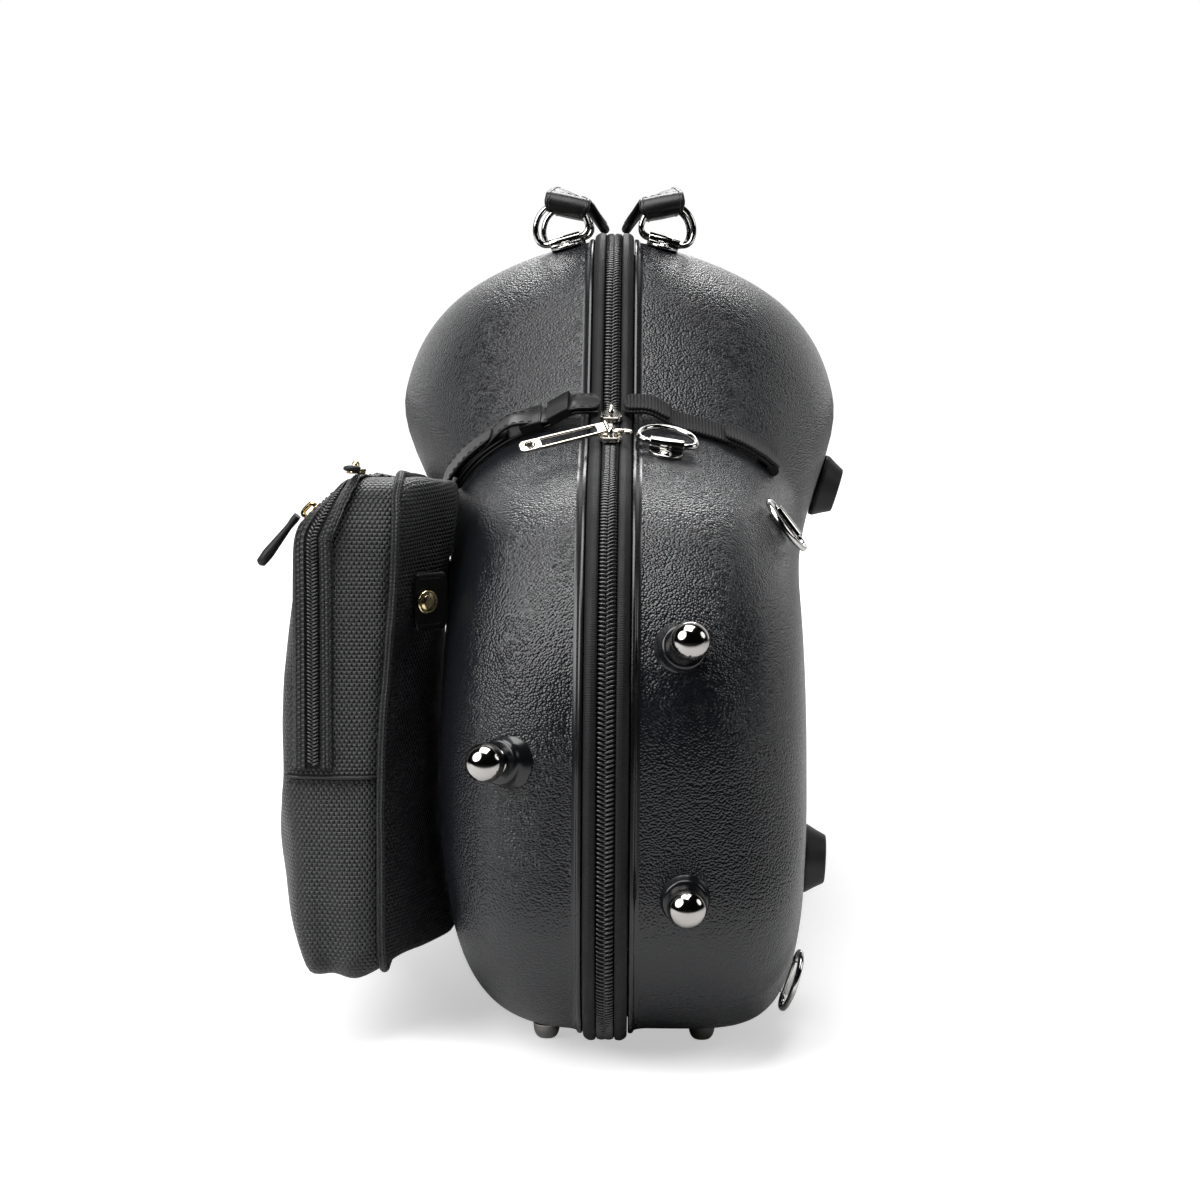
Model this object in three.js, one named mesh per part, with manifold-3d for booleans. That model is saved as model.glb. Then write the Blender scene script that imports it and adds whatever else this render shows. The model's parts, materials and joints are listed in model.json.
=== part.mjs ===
// Tenor saxophone case: two moulded shells, hinged along the long bottom edge and closed by a zip.
// Millimetres. X runs across the shells (lid at -X, base at +X), Y along the case from the bow end
// to the neck end, and Z up from the floor that the case stands on.
import * as THREE from "three";
import { mergeVertices } from "three/addons/utils/BufferGeometryUtils.js";
import Module from "manifold-3d";

const wasm = await Module();
wasm.setup();

const { Vector2, Vector3 } = THREE;

// Side outline at the edge of the shells
const CLEARANCE = 0.3;
const TOLERANCE = 1e-4;
const SEAM_PROUD = 4.5;
const STANDING_GAP = 6.5;
const SHELL_LENGTH = 786;
const BOW = { height: 218, topRadius: 117, bottomRadius: 74 };
const VALLEY = { y: 170, z: 258, radius: 22 };
const DOME = { nearY: 243, nearZ: 334.5, nearRadius: 90, farY: 452, farZ: 330.5, farRadius: 120 };
const WAIST = { y: 560, z: 238, radius: 90 };
const NECK = { height: 196, topRadius: 45, bottomRadius: 42 };
const SPINE = { nearY: 118, farY: 700, nearZ: 120, bellZ: 165, neckZ: 95, bellY: 330, bellLength: 170 };

// Depth of each shell from the seam, and how square its section is
const BASE = { side: 1, bow: 84, neck: 66, swell: 27.5, squareness: 4.9, shoulder: 0 };
const LID = { side: -1, bow: 70.5, neck: 56, swell: 36, squareness: 3.7, shoulder: 0.004 };
const BELL = { y: 330, length: 150, lowZ: 180, highZ: 262, lowShare: 0.18, narrowY: 430, neckY: 690 };
const SQUARENESS = { top: 3.6, dome: 5.4, lowZ: 30, highZ: 170 };
const SHOULDER_SHARES = { top: 0.004, dome: 0.1 };

const SHELL_WALL = 2.6;
const FOAM = 9;
const FOAM_GAP = 2.2;
const FOAM_RIM = 1;
const LIP = { inner: 9.5, outer: 11.9, height: 2.2, outerHeight: 1.5, flare: 17 };
const WELT = { inner: 3.95, crown: 6, outer: 9.2, crownHeight: 5.2, outerHeight: 3.2, depth: 1.5 };
const COIL = { inner: 0.15, outer: 3.65, top: 4.4, bottom: 1.6, crest: 2.4, tapeTop: 3.4 };
const HINGE = { halfGap: 0.15, outer: 3.65, top: 4.3, bottom: 1.6, endGap: 4 };
const ZIP_END_Y = 118;

const ARC_STEP = Math.PI / 17;
const LINE_STEP = 64;
const OUTER_SHARES = [0.012, 0.05, 0.13, 0.26, 0.42, 0.62, 0.85];
const INNER_SHARES = [0.05, 0.2, 0.4, 0.62, 0.85];

// Hardware
const PAD = { baseRadius: 15, topRadius: 10.3, height: 10.5, rim: 2, sides: 16 };
const BACK_PADS = {
  back_pad_dome: { y: 300, z: 218 },
  back_pad_bow: { y: 120, z: 70 },
  back_pad_middle: { y: 455, z: 92 },
  back_pad_neck: { y: 722, z: 95 },
};
const BALL = { radius: 8, neckRadius: 5, neckLength: 1.2, sides: 14, rings: 8 };
const BOSS = { radius: 11.5, topRadius: 8.5, height: 4, root: 1.8, sides: 16 };
const END_FEET = {
  end_foot_upper: { shell: "base", x: 30, z: 176 },
  end_foot_lower: { shell: "base", x: 32, z: 76 },
  end_foot_lid: { shell: "lid", x: -41, z: 131 },
};
const FOOT = { radius: 5.6, flatRadius: 2.6, sides: 12, rings: 4, flange: 1 };
const FEET_Y = { near: 78, far: 655 };
const FEET_X = { base: 41, lid: -25 };

const RING = { halfWidth: 12.5, cornerRadius: 4.7, armLength: 0.8, wire: 1.35, sides: 6 };
const SLEEVE = { halfLength: 7.5, half: 2.5, rise: 0.9, boreRadius: 1.8, boreSides: 8 };
const PLATE = { length: 10.5, thickness: 1.2, rivetRadius: 2.7, rivetHeight: 1.3, rivetSides: 10 };
const LYING_ANGLE = THREE.MathUtils.degToRad(4);

const HANDLE = {
  nearY: 275,
  pivotSpan: 132,
  plateX: 22.5,
  tilt: THREE.MathUtils.degToRad(11.5),
  leather: 2.4,
  loopHalf: 10.8,
  innerHalf: 9,
  gripOut: 10,
  gripIn: 21.6,
  droop: 8,
  arch: 3,
  bendPower: 0.6,
  leanShare: 0.6,
};
// From the inner tail round the ring to the loop's top, in shares of the ring's half width
const HANDLE_LOOP_SHARES = [
  [1.9, "tail", 0],
  [0.95, 0.58, 0],
  [0.3, 0.26, 0],
  [-0.3, 0.26, 0],
  [-0.54, 0.45, 0.6],
  [-0.54, 0.95, 1],
  [-0.35, 1.16, 1],
  [0, "top", 1],
  [0.9, "top", 1],
];
const HANDLE_GRIP_SHARES = [0.16, 0.28, 0.4, 0.5, 0.6, 0.72, 0.84];

const SHELF_RING = { x: 23.7, y: 127, angle: THREE.MathUtils.degToRad(5) };
const STRAP_RINGS = {
  near_upper: { y: 118, z: 215, plateTowards: 1 },
  near_lower: { y: 96, z: 24, plateTowards: 1 },
  far_upper: { y: 735, z: 172, plateTowards: -1 },
  far_lower: { y: 735, z: 30, plateTowards: -1 },
};

const CLOSURE = {
  halfWidth: 8,
  offset: -4,
  middleGap: 5.2,
  lift: 1.1,
  overSeam: 6.4,
  seamHalf: 13,
  rampEnd: 30,
  webbing: 2.2,
  leather: 3.4,
  baseReach: 74,
  lidReach: 65,
  steps: 13,
};
const KEEPER = { wall: 1.6, length: 9, start: 17, pitch: 13 };

const SLIDER = {
  halfWidth: 4.8,
  length: 12,
  base: 2.4,
  bailHalf: 1.1,
  bailHeight: 3.4,
  bailLength: 8,
  bailTopShare: 0.67,
};
const SLIDERS = { near: 124, far: 152 };
const PULL = {
  length: 39,
  width: 6.6,
  thickness: 1.6,
  slot: 2.4,
  turn: THREE.MathUtils.degToRad(15),
  dip: THREE.MathUtils.degToRad(10),
  rise: 1.2,
  endSteps: 4,
};
const HOOK = { length: 8, width: 4.6, thickness: 1.4 };

// Pocket on the lid, with its back shaped to the shell
const POCKET = {
  nearY: 47,
  length: 280,
  bottomZ: 34,
  height: 209,
  farHeight: 181,
  frontX: -136,
  backX: -92,
  slant: 3,
  bevelY: 46,
  wall: 3,
  profile: [
    [10, 0],
    [6, 14],
    [0, 72],
    [0, 124],
    [5, 176],
    [6, 183],
    [29, 209],
  ],
  corner: 28,
  cornerSteps: 4,
  zipInset: 15,
  zipTopInset: 30,
  chamferHeight: 26,
  flapZ: 118,
};
const POCKET_GAP = 1.4;
const POCKET_LEVELS = 40;
const POCKET_BACK_SHARES = [0, 0.08, 0.16, 0.24, 0.34, 0.44, 0.55, 0.66, 0.77, 0.88, 1];
const POCKET_SLIDER = { width: 9, length: 11, height: 3, y: 79 };
const POCKET_PULL = { length: 16, width: 6, thickness: 2 };
const FRONT_SLIDER = { width: 8, length: 9, height: 2.4, y: 66, share: 0.34 };
const RUBBER_PULL = { length: 25, width: 8, thickness: 3.4, dip: THREE.MathUtils.degToRad(4) };
const TAB = {
  width: 24,
  thickness: 2.4,
  z: 188,
  nearY: 74,
  shellReach: 26,
  bevelShares: [0.06, 0.3],
  snapRadius: 6,
  snapHeight: 2.2,
  snapSides: 12,
};

// Foam cradles inside the base
const BOW_CRADLE = { y: 118, z: 122, length: 34, width: 120, height: 46, notch: 36, steps: 8 };
const NECK_CRADLE = { y: 640, z: 98, length: 30, width: 90, height: 34, notch: 24, steps: 8 };

const COLOURS = {
  shell: { color: 0x17191c, roughness: 0.42, metalness: 0 },
  rubber: { color: 0x101113, roughness: 0.7, metalness: 0 },
  cloth: { color: 0x1b1c1e, roughness: 0.9, metalness: 0 },
  foam: { color: 0x26272b, roughness: 0.95, metalness: 0 },
  leather: { color: 0x141416, roughness: 0.45, metalness: 0 },
  chrome: { color: 0xd8d8d6, roughness: 0.12, metalness: 1 },
  gold: { color: 0xc9b27a, roughness: 0.25, metalness: 1 },
};

const AXIS = { x: new Vector3(1, 0, 0), y: new Vector3(0, 1, 0), z: new Vector3(0, 0, 1) };
const caseGroup = new THREE.Group();
const meshes = {};

const lerp = THREE.MathUtils.lerp;
const clamp = THREE.MathUtils.clamp;
const smoothBetween = THREE.MathUtils.smoothstep;

// Closed solids from points and faces

function closedGeometry(points, faces) {
  let volume = 0;
  for (const [a, b, c] of faces) {
    volume += points[a].dot(new Vector3().crossVectors(points[b], points[c]));
  }
  const outward = volume < 0 ? faces.map(([a, b, c]) => [a, c, b]) : faces;
  const geometry = new THREE.BufferGeometry().setFromPoints(points);
  geometry.setIndex(outward.flat());
  geometry.computeVertexNormals();
  return geometry;
}

function ladderCap(count) {
  const faces = [];
  for (let i = 0; i < count / 2 - 1; i++) {
    const far = count - 1 - i;
    faces.push([i, i + 1, far - 1], [i, far - 1, far]);
  }
  return faces;
}

function flatCap(outline) {
  const area = THREE.ShapeUtils.area(outline);
  return THREE.ShapeUtils.triangulateShape(outline, []).map(([a, b, c]) => {
    const turn = THREE.ShapeUtils.area([outline[a], outline[b], outline[c]]);
    return turn * area < 0 ? [a, c, b] : [a, b, c];
  });
}

// A skin over rings of the same number of points, closed on itself or capped at both ends.
function skin(rings, closed, capOf = (ring) => ladderCap(ring.length)) {
  const count = rings[0].length;
  const faces = [];
  const last = closed ? rings.length : rings.length - 1;
  for (let i = 0; i < last; i++) {
    const next = (i + 1) % rings.length;
    for (let j = 0; j < count; j++) {
      const k = (j + 1) % count;
      const [a, b, c, d] = [i * count + j, i * count + k, next * count + k, next * count + j];
      faces.push([a, b, c], [a, c, d]);
    }
  }
  if (!closed) {
    const start = (rings.length - 1) * count;
    for (const [a, b, c] of capOf(rings[0])) {
      faces.push([a, c, b]);
    }
    for (const [a, b, c] of capOf(rings[rings.length - 1])) {
      faces.push([start + a, start + b, start + c]);
    }
  }
  return closedGeometry(rings.flat(), faces);
}

function toSolid(geometry) {
  const bare = geometry.clone();
  bare.deleteAttribute("normal");
  bare.deleteAttribute("uv");
  const merged = mergeVertices(bare, TOLERANCE);
  return new wasm.Manifold(
    new wasm.Mesh({
      numProp: 3,
      vertProperties: new Float32Array(merged.attributes.position.array),
      triVerts: new Uint32Array(merged.index.array),
    }),
  );
}

function fromSolid(solid) {
  const mesh = solid.getMesh();
  const geometry = new THREE.BufferGeometry();
  geometry.setAttribute("position", new THREE.BufferAttribute(mesh.vertProperties, 3));
  geometry.setIndex(new THREE.BufferAttribute(mesh.triVerts, 1));
  geometry.computeVertexNormals();
  return geometry;
}

function addMesh(name, geometry, look, parent = caseGroup) {
  const mesh = new THREE.Mesh(geometry, new THREE.MeshStandardMaterial(COLOURS[look]));
  mesh.name = name;
  parent.add(mesh);
  meshes[name] = mesh;
  return mesh;
}

function addPivot(at, xAxis, yAxis, zAxis, parent = caseGroup) {
  const pivot = new THREE.Group();
  pivot.matrix.makeBasis(xAxis, yAxis, zAxis).setPosition(at);
  pivot.matrix.decompose(pivot.position, pivot.quaternion, pivot.scale);
  parent.add(pivot);
  return pivot;
}

// Outline of the seam: straight runs joined by arcs, with the outward normal at each point

function roundedOutline(corners) {
  const edge = [];
  const spans = corners.map((corner, i) => {
    const at = new Vector2(corner.y, corner.z);
    const before = corners.at(i - 1);
    const after = corners[(i + 1) % corners.length];
    const back = new Vector2(before.y, before.z).sub(at).normalize();
    const ahead = new Vector2(after.y, after.z).sub(at).normalize();
    const turn = Math.PI - Math.acos(back.dot(ahead));
    const bulge = back.cross(ahead) > 0 ? 1 : -1;
    const reach = corner.radius * Math.tan(turn / 2);
    return { at, back, ahead, turn, bulge, reach, radius: corner.radius };
  });
  spans.forEach((span, i) => {
    const normalIn = new Vector2(span.back.y, -span.back.x);
    const start = span.at.clone().addScaledVector(span.back, span.reach);
    const centre = start.clone().addScaledVector(normalIn, -span.bulge * span.radius);
    const steps = Math.ceil(span.turn / ARC_STEP);
    for (let k = 0; k <= steps; k++) {
      const angle = (-span.bulge * span.turn * k) / steps;
      const normal = normalIn.clone().rotateAround(new Vector2(), angle);
      const at = centre.clone().addScaledVector(normal, span.bulge * span.radius);
      edge.push({ y: at.x, z: at.y, ny: normal.x, nz: normal.y });
    }
    const next = spans[(i + 1) % spans.length];
    const from = span.at.clone().addScaledVector(span.ahead, span.reach);
    const to = next.at.clone().addScaledVector(next.back, next.reach);
    const cuts = Math.ceil(from.distanceTo(to) / LINE_STEP);
    const { ny, nz } = edge.at(-1);
    for (let k = 1; k < cuts; k++) {
      const at = from.clone().lerp(to, k / cuts);
      edge.push({ y: at.x, z: at.y, ny, nz });
    }
  });
  return edge;
}

const BOW_Y = SEAM_PROUD;
const NECK_Y = BOW_Y + SHELL_LENGTH;
const CORNERS = [
  { y: BOW_Y, z: STANDING_GAP, radius: BOW.bottomRadius },
  { y: BOW_Y, z: BOW.height, radius: BOW.topRadius },
  { y: VALLEY.y, z: VALLEY.z, radius: VALLEY.radius },
  { y: DOME.nearY, z: DOME.nearZ, radius: DOME.nearRadius },
  { y: DOME.farY, z: DOME.farZ, radius: DOME.farRadius },
  { y: WAIST.y, z: WAIST.z, radius: WAIST.radius },
  { y: NECK_Y, z: NECK.height, radius: NECK.topRadius },
  { y: NECK_Y, z: STANDING_GAP, radius: NECK.bottomRadius },
];
const EDGE = roundedOutline(CORNERS);
const SHELF_SLOPE = Math.atan2(VALLEY.z - BOW.height, VALLEY.y - BOW_Y);

function shelfAt(y) {
  return BOW.height + (y - BOW_Y) * Math.tan(SHELF_SLOPE);
}

// Shell surface: from the seam's edge to the spine at the middle of each shell

function bellBump(y, middle, length) {
  return Math.exp(-(((y - middle) / length) ** 2));
}

function shellDepth(shell, y, z) {
  const along = smoothBetween(y, BELL.narrowY, BELL.neckY);
  const level = lerp(BELL.lowShare, 1, smoothBetween(z, BELL.lowZ, BELL.highZ));
  return lerp(shell.bow, shell.neck, along) + shell.swell * level * bellBump(y, BELL.y, BELL.length);
}

// How far a section has come out at a share of its way in: a superellipse from its shoulder on.
function sectionReach(shell, point, share) {
  const bell = bellBump(point.y, BELL.y, BELL.length);
  const raised = smoothBetween(point.z, SQUARENESS.lowZ, SQUARENESS.highZ);
  const power = lerp(shell.squareness, lerp(SQUARENESS.top, SQUARENESS.dome, bell), raised);
  const topShoulder = lerp(SHOULDER_SHARES.top, SHOULDER_SHARES.dome, bell);
  const shoulder = lerp(shell.shoulder, topShoulder, raised);
  const arc = (t) => (1 - (1 - t) ** power) ** (1 / power);
  return (arc(lerp(shoulder, 1, share)) - arc(shoulder)) / (1 - arc(shoulder));
}

function spineUnder(y) {
  const share = (y - BOW_Y) / SHELL_LENGTH;
  const at = lerp(SPINE.nearY, SPINE.farY, share);
  const plain = lerp(SPINE.nearZ, SPINE.neckZ, share);
  const rise = SPINE.bellZ - SPINE.nearZ;
  return { y: at, z: plain + rise * bellBump(at, SPINE.bellY, SPINE.bellLength) };
}

function edgePoint(shell, point, across, out) {
  return new Vector3(shell.side * across, point.y + out * point.ny, point.z + out * point.nz);
}

function shellPoint(shell, point, share, inset, start) {
  const spine = spineUnder(point.y);
  const y = lerp(point.y - inset * point.ny, spine.y, share);
  const z = lerp(point.z - inset * point.nz, spine.z, share);
  const depth = shellDepth(shell, y, z) - inset;
  return new Vector3(shell.side * lerp(start, depth, sectionReach(shell, point, share)), y, z);
}

const edgeRing = (shell, across, out) => EDGE.map((p) => edgePoint(shell, p, across, out));
const shellRing = (shell, share, inset, start) => EDGE.map((p) => shellPoint(shell, p, share, inset, start));
const sideCap = (ring) => flatCap(ring.map((p) => new Vector2(p.y, p.z)));

function shellGeometry(shell) {
  const inner = INNER_SHARES.map((share) => shellRing(shell, share, SHELL_WALL, LIP.inner));
  const outer = OUTER_SHARES.map((share) => shellRing(shell, share, 0, LIP.flare));
  const rings = [
    ...inner.reverse(),
    edgeRing(shell, LIP.inner, -SHELL_WALL),
    edgeRing(shell, LIP.inner, LIP.height),
    edgeRing(shell, LIP.outer, LIP.outerHeight),
    edgeRing(shell, LIP.flare, 0),
    ...outer,
  ];
  return skin(rings, false, sideCap);
}

function linerGeometry(shell) {
  const outside = SHELL_WALL + FOAM_GAP;
  const inside = outside + FOAM;
  const outer = INNER_SHARES.map((share) => shellRing(shell, share, outside, LIP.inner));
  const inner = INNER_SHARES.map((share) => shellRing(shell, share, inside, LIP.inner));
  const rings = [
    ...outer.reverse(),
    edgeRing(shell, LIP.inner, -outside),
    edgeRing(shell, FOAM_RIM, -outside),
    edgeRing(shell, FOAM_RIM, -inside),
    ...inner,
  ];
  return skin(rings, false, sideCap);
}

// Profiles that follow the seam: pairs of distance from the seam plane and height over the edge

function alongSeam(shell, points, profile, closed) {
  const rings = points.map((p) => profile.map(([across, out]) => edgePoint(shell, p, across, out)));
  return skin(rings, closed);
}

const WELT_PROFILE = [
  [WELT.inner, -WELT.depth],
  [WELT.inner, SEAM_PROUD],
  [WELT.crown, WELT.crownHeight],
  [WELT.outer, WELT.outerHeight],
  [WELT.outer, 0],
  [WELT.outer, -WELT.depth],
];
const COIL_PROFILE = [
  [COIL.inner, COIL.bottom],
  [COIL.inner, COIL.top],
  [COIL.crest, COIL.top],
  [COIL.outer, COIL.tapeTop],
  [COIL.outer, lerp(COIL.bottom, COIL.tapeTop, 0.5)],
  [COIL.outer, COIL.bottom],
];
const HINGE_PROFILE = [
  [HINGE.halfGap, HINGE.bottom],
  [HINGE.halfGap, HINGE.top],
  [HINGE.outer, HINGE.top],
  [HINGE.outer, HINGE.bottom],
];

const bottomPoint = (y) => ({ y, z: STANDING_GAP, ny: 0, nz: -1 });
const ZIP_START = bottomPoint(BOW_Y + ZIP_END_Y);
const ZIP_STOP = bottomPoint(NECK_Y - ZIP_END_Y);
const overTheTop = EDGE.filter((p) => p.nz > -1 + TOLERANCE || p.y < ZIP_START.y || p.y > ZIP_STOP.y);

function zipPoints() {
  const first = overTheTop.findIndex((p, i) => i > 0 && overTheTop[i - 1].y > p.y + ZIP_END_Y);
  const turned = first < 0 ? overTheTop : [...overTheTop.slice(first), ...overTheTop.slice(0, first)];
  return [ZIP_START, ...turned, ZIP_STOP];
}

function buildShells() {
  for (const [name, shell] of [["base", BASE], ["lid", LID]]) {
    addMesh(name + "_shell", shellGeometry(shell), "shell");
    addMesh(name + "_liner", linerGeometry(shell), "foam");
    addMesh(name + "_welt", alongSeam(shell, EDGE, WELT_PROFILE, true), "rubber");
    addMesh(name + "_zip_coil", alongSeam(shell, zipPoints(), COIL_PROFILE, false), "cloth");
    const leafEnds = [bottomPoint(ZIP_START.y + HINGE.endGap), bottomPoint(ZIP_STOP.y - HINGE.endGap)];
    addMesh(name + "_hinge_leaf", alongSeam(shell, leafEnds, HINGE_PROFILE, false), "cloth");
  }
}

// Seats on the shells, found by looking at them along a straight line

const caster = new THREE.Raycaster();

function seat(mesh, from, towards) {
  mesh.updateMatrixWorld();
  caster.set(from, towards);
  const [hit] = caster.intersectObject(mesh);
  return hit && { at: hit.point.clone(), normal: hit.face.normal.clone() };
}

const fromSide = (mesh, side, y, z) =>
  seat(mesh, new Vector3(side * SHELL_LENGTH, y, z), new Vector3(-side, 0, 0));
const fromBow = (mesh, x, z) => seat(mesh, new Vector3(x, -SHELL_LENGTH, z), AXIS.y);
const fromAbove = (mesh, x, y) => seat(mesh, new Vector3(x, y, SHELL_LENGTH), new Vector3(0, 0, -1));
const fromBelow = (mesh, x, y) => seat(mesh, new Vector3(x, y, -SHELL_LENGTH), AXIS.z);

// A basis with Y along the normal and Z near the wanted direction.
function seatBasis(normal, wanted) {
  const y = normal.clone().normalize();
  const x = new Vector3().crossVectors(y, wanted).normalize();
  const z = new Vector3().crossVectors(x, y);
  return [x, y, z];
}

// How far the surface under a round base comes up past the plane through the middle of its seat.
function riseUnder(mesh, at, [x, y, z], radius) {
  const rises = RIM_ANGLES.map((angle) => {
    const spot = at.clone().addScaledVector(x, radius * Math.cos(angle));
    spot.addScaledVector(z, radius * Math.sin(angle));
    const hit = seat(mesh, spot.addScaledVector(y, radius), y.clone().negate());
    return hit ? hit.at.sub(at).dot(y) : 0;
  });
  return Math.max(0, ...rises);
}

const RIM_ANGLES = Array.from({ length: PAD.sides }, (_, i) => (2 * Math.PI * i) / PAD.sides);

// Pads and feet

function padGeometry() {
  const profile = [
    new Vector2(0, 0),
    new Vector2(PAD.baseRadius, 0),
    new Vector2(PAD.baseRadius, PAD.rim),
    new Vector2(PAD.topRadius, PAD.height),
    new Vector2(0, PAD.height),
  ];
  return new THREE.LatheGeometry(profile, PAD.sides);
}

function buildPads() {
  for (const [name, place] of Object.entries(BACK_PADS)) {
    const { at, normal } = fromSide(meshes.base_shell, 1, place.y, place.z);
    const basis = seatBasis(normal, AXIS.y);
    at.addScaledVector(normal, riseUnder(meshes.base_shell, at, basis, PAD.baseRadius) + CLEARANCE);
    addMesh(name, padGeometry(), "rubber", addPivot(at, ...basis));
  }
}

function ballGeometry() {
  const centre = BALL.neckLength + Math.sqrt(BALL.radius ** 2 - BALL.neckRadius ** 2);
  const start = Math.asin(BALL.neckRadius / BALL.radius);
  const profile = [new Vector2(0, 0), new Vector2(BALL.neckRadius, 0)];
  for (let i = 0; i <= BALL.rings; i++) {
    const angle = lerp(start, Math.PI, i / BALL.rings);
    const radius = i === BALL.rings ? 0 : BALL.radius * Math.sin(angle);
    profile.push(new Vector2(radius, centre - BALL.radius * Math.cos(angle)));
  }
  return new THREE.LatheGeometry(profile, BALL.sides);
}

function bossGeometry() {
  const profile = [
    new Vector2(0, -BOSS.root),
    new Vector2(BOSS.radius, -BOSS.root),
    new Vector2(BOSS.topRadius, BOSS.height),
    new Vector2(0, BOSS.height),
  ];
  return new THREE.LatheGeometry(profile, BOSS.sides);
}

function buildEndFeet() {
  const bosses = { base: [], lid: [] };
  for (const [name, place] of Object.entries(END_FEET)) {
    const { at, normal } = fromBow(meshes[place.shell + "_shell"], place.x, place.z);
    const basis = seatBasis(normal, AXIS.z);
    const boss = bossGeometry();
    boss.applyMatrix4(new THREE.Matrix4().makeBasis(...basis).setPosition(at));
    bosses[place.shell].push(boss);
    const top = at.clone().addScaledVector(basis[1], BOSS.height + CLEARANCE);
    addMesh(name, ballGeometry(), "chrome", addPivot(top, ...basis));
  }
  for (const name of ["base", "lid"]) {
    const shell = meshes[name + "_shell"];
    const joined = bosses[name].reduce((solid, boss) => solid.add(toSolid(boss)), toSolid(shell.geometry));
    shell.geometry = fromSolid(joined);
  }
}

function footGeometry(height) {
  const profile = [new Vector2(0, 0), new Vector2(FOOT.radius, 0), new Vector2(FOOT.radius, -FOOT.flange)];
  for (let i = 1; i <= FOOT.rings; i++) {
    const angle = (Math.PI / 2) * (i / FOOT.rings);
    const radius = lerp(FOOT.flatRadius, FOOT.radius, Math.cos(angle));
    profile.push(new Vector2(radius, -FOOT.flange - (height - FOOT.flange) * Math.sin(angle)));
  }
  profile.push(new Vector2(0, -height));
  return new THREE.LatheGeometry(profile.reverse(), FOOT.sides).rotateX(Math.PI / 2);
}

function buildBottomFeet() {
  for (const [side, x] of Object.entries(FEET_X)) {
    for (const [end, y] of Object.entries(FEET_Y)) {
      const rim = [x - FOOT.radius, x, x + FOOT.radius].flatMap((px) =>
        [y - FOOT.radius, y, y + FOOT.radius].map((py) => fromBelow(meshes[side + "_shell"], px, py).at.z),
      );
      const top = Math.min(...rim) - CLEARANCE;
      const foot = addMesh("bottom_foot_" + side + "_" + end, footGeometry(top), "chrome");
      foot.position.set(x, y, top);
    }
  }
}

// Rings in riveted plates

function ringPath() {
  const { halfWidth, cornerRadius, armLength } = RING;
  const barHalf = halfWidth - cornerRadius;
  const shoulder = cornerRadius + armLength;
  const path = new THREE.Path();
  path.moveTo(-barHalf, 0);
  path.lineTo(barHalf, 0);
  path.absarc(barHalf, cornerRadius, cornerRadius, -Math.PI / 2, 0, false);
  path.lineTo(halfWidth, shoulder);
  path.absarc(0, shoulder, halfWidth, 0, Math.PI, false);
  path.lineTo(-halfWidth, cornerRadius);
  path.absarc(-barHalf, cornerRadius, cornerRadius, Math.PI, 1.5 * Math.PI, false);
  return path;
}

const RING_POINTS = 22;

// The ring lies in the XZ plane of its own frame, with its straight bar on X and its top at -Z.
function ringGeometry() {
  const path = ringPath();
  const rings = [];
  for (let i = 0; i < RING_POINTS; i++) {
    const at = path.getPointAt(i / RING_POINTS);
    const tangent = path.getTangentAt(i / RING_POINTS);
    const outward = new Vector3(tangent.y, 0, tangent.x);
    const centre = new Vector3(at.x, 0, -at.y);
    const section = [];
    for (let k = 0; k < RING.sides; k++) {
      const angle = (2 * Math.PI * k) / RING.sides;
      const point = centre.clone().addScaledVector(outward, RING.wire * Math.cos(angle));
      section.push(point.addScaledVector(caseGroup.up, RING.wire * Math.sin(angle)));
    }
    rings.push(section);
  }
  return skin(rings, true);
}

// Sleeve and plate in the YZ plane of their frame: Y off the shell, Z along the plate.
function plateGeometry() {
  const { half, halfLength, rise, boreRadius, boreSides } = SLEEVE;
  const shape = new THREE.Shape([
    new Vector2(-half, 0),
    new Vector2(PLATE.length, 0),
    new Vector2(PLATE.length, PLATE.thickness),
    new Vector2(half, PLATE.thickness),
    new Vector2(half, rise + 2 * half),
    new Vector2(-half, rise + 2 * half),
  ]);
  const bore = new THREE.Path();
  bore.absarc(0, rise + half, boreRadius, 0, 2 * Math.PI, true);
  shape.holes.push(bore);
  const sheet = new THREE.ExtrudeGeometry(shape, {
    depth: 2 * halfLength,
    bevelEnabled: false,
    curveSegments: boreSides,
  });
  sheet.translate(0, 0, -halfLength).rotateY(-Math.PI / 2);
  const rivet = new THREE.LatheGeometry(
    [
      new Vector2(0, -PLATE.thickness / 2),
      new Vector2(PLATE.rivetRadius, -PLATE.thickness / 2),
      new Vector2(PLATE.rivetRadius, PLATE.rivetHeight / 2),
      new Vector2(PLATE.rivetRadius / 2, PLATE.rivetHeight),
      new Vector2(0, PLATE.rivetHeight),
    ],
    PLATE.rivetSides,
  );
  rivet.translate(0, PLATE.thickness, (half + PLATE.length) / 2);
  return fromSolid(toSolid(sheet).add(toSolid(rivet)));
}

// The seat is under the sleeve; the ring rises by its angle from lying along -Z of the seat's basis.
function addRing(name, at, basis, angle) {
  const foot = at.clone().addScaledVector(basis[1], CLEARANCE);
  addMesh(name + "_plate", plateGeometry(), "chrome", addPivot(foot, ...basis));
  const pivot = addPivot(foot.clone().addScaledVector(basis[1], SLEEVE.rise + SLEEVE.half), ...basis);
  const turned = new THREE.Group();
  turned.rotation.x = angle;
  pivot.add(turned);
  addMesh(name + "_ring", ringGeometry(), "chrome", turned);
  return pivot;
}

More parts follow.
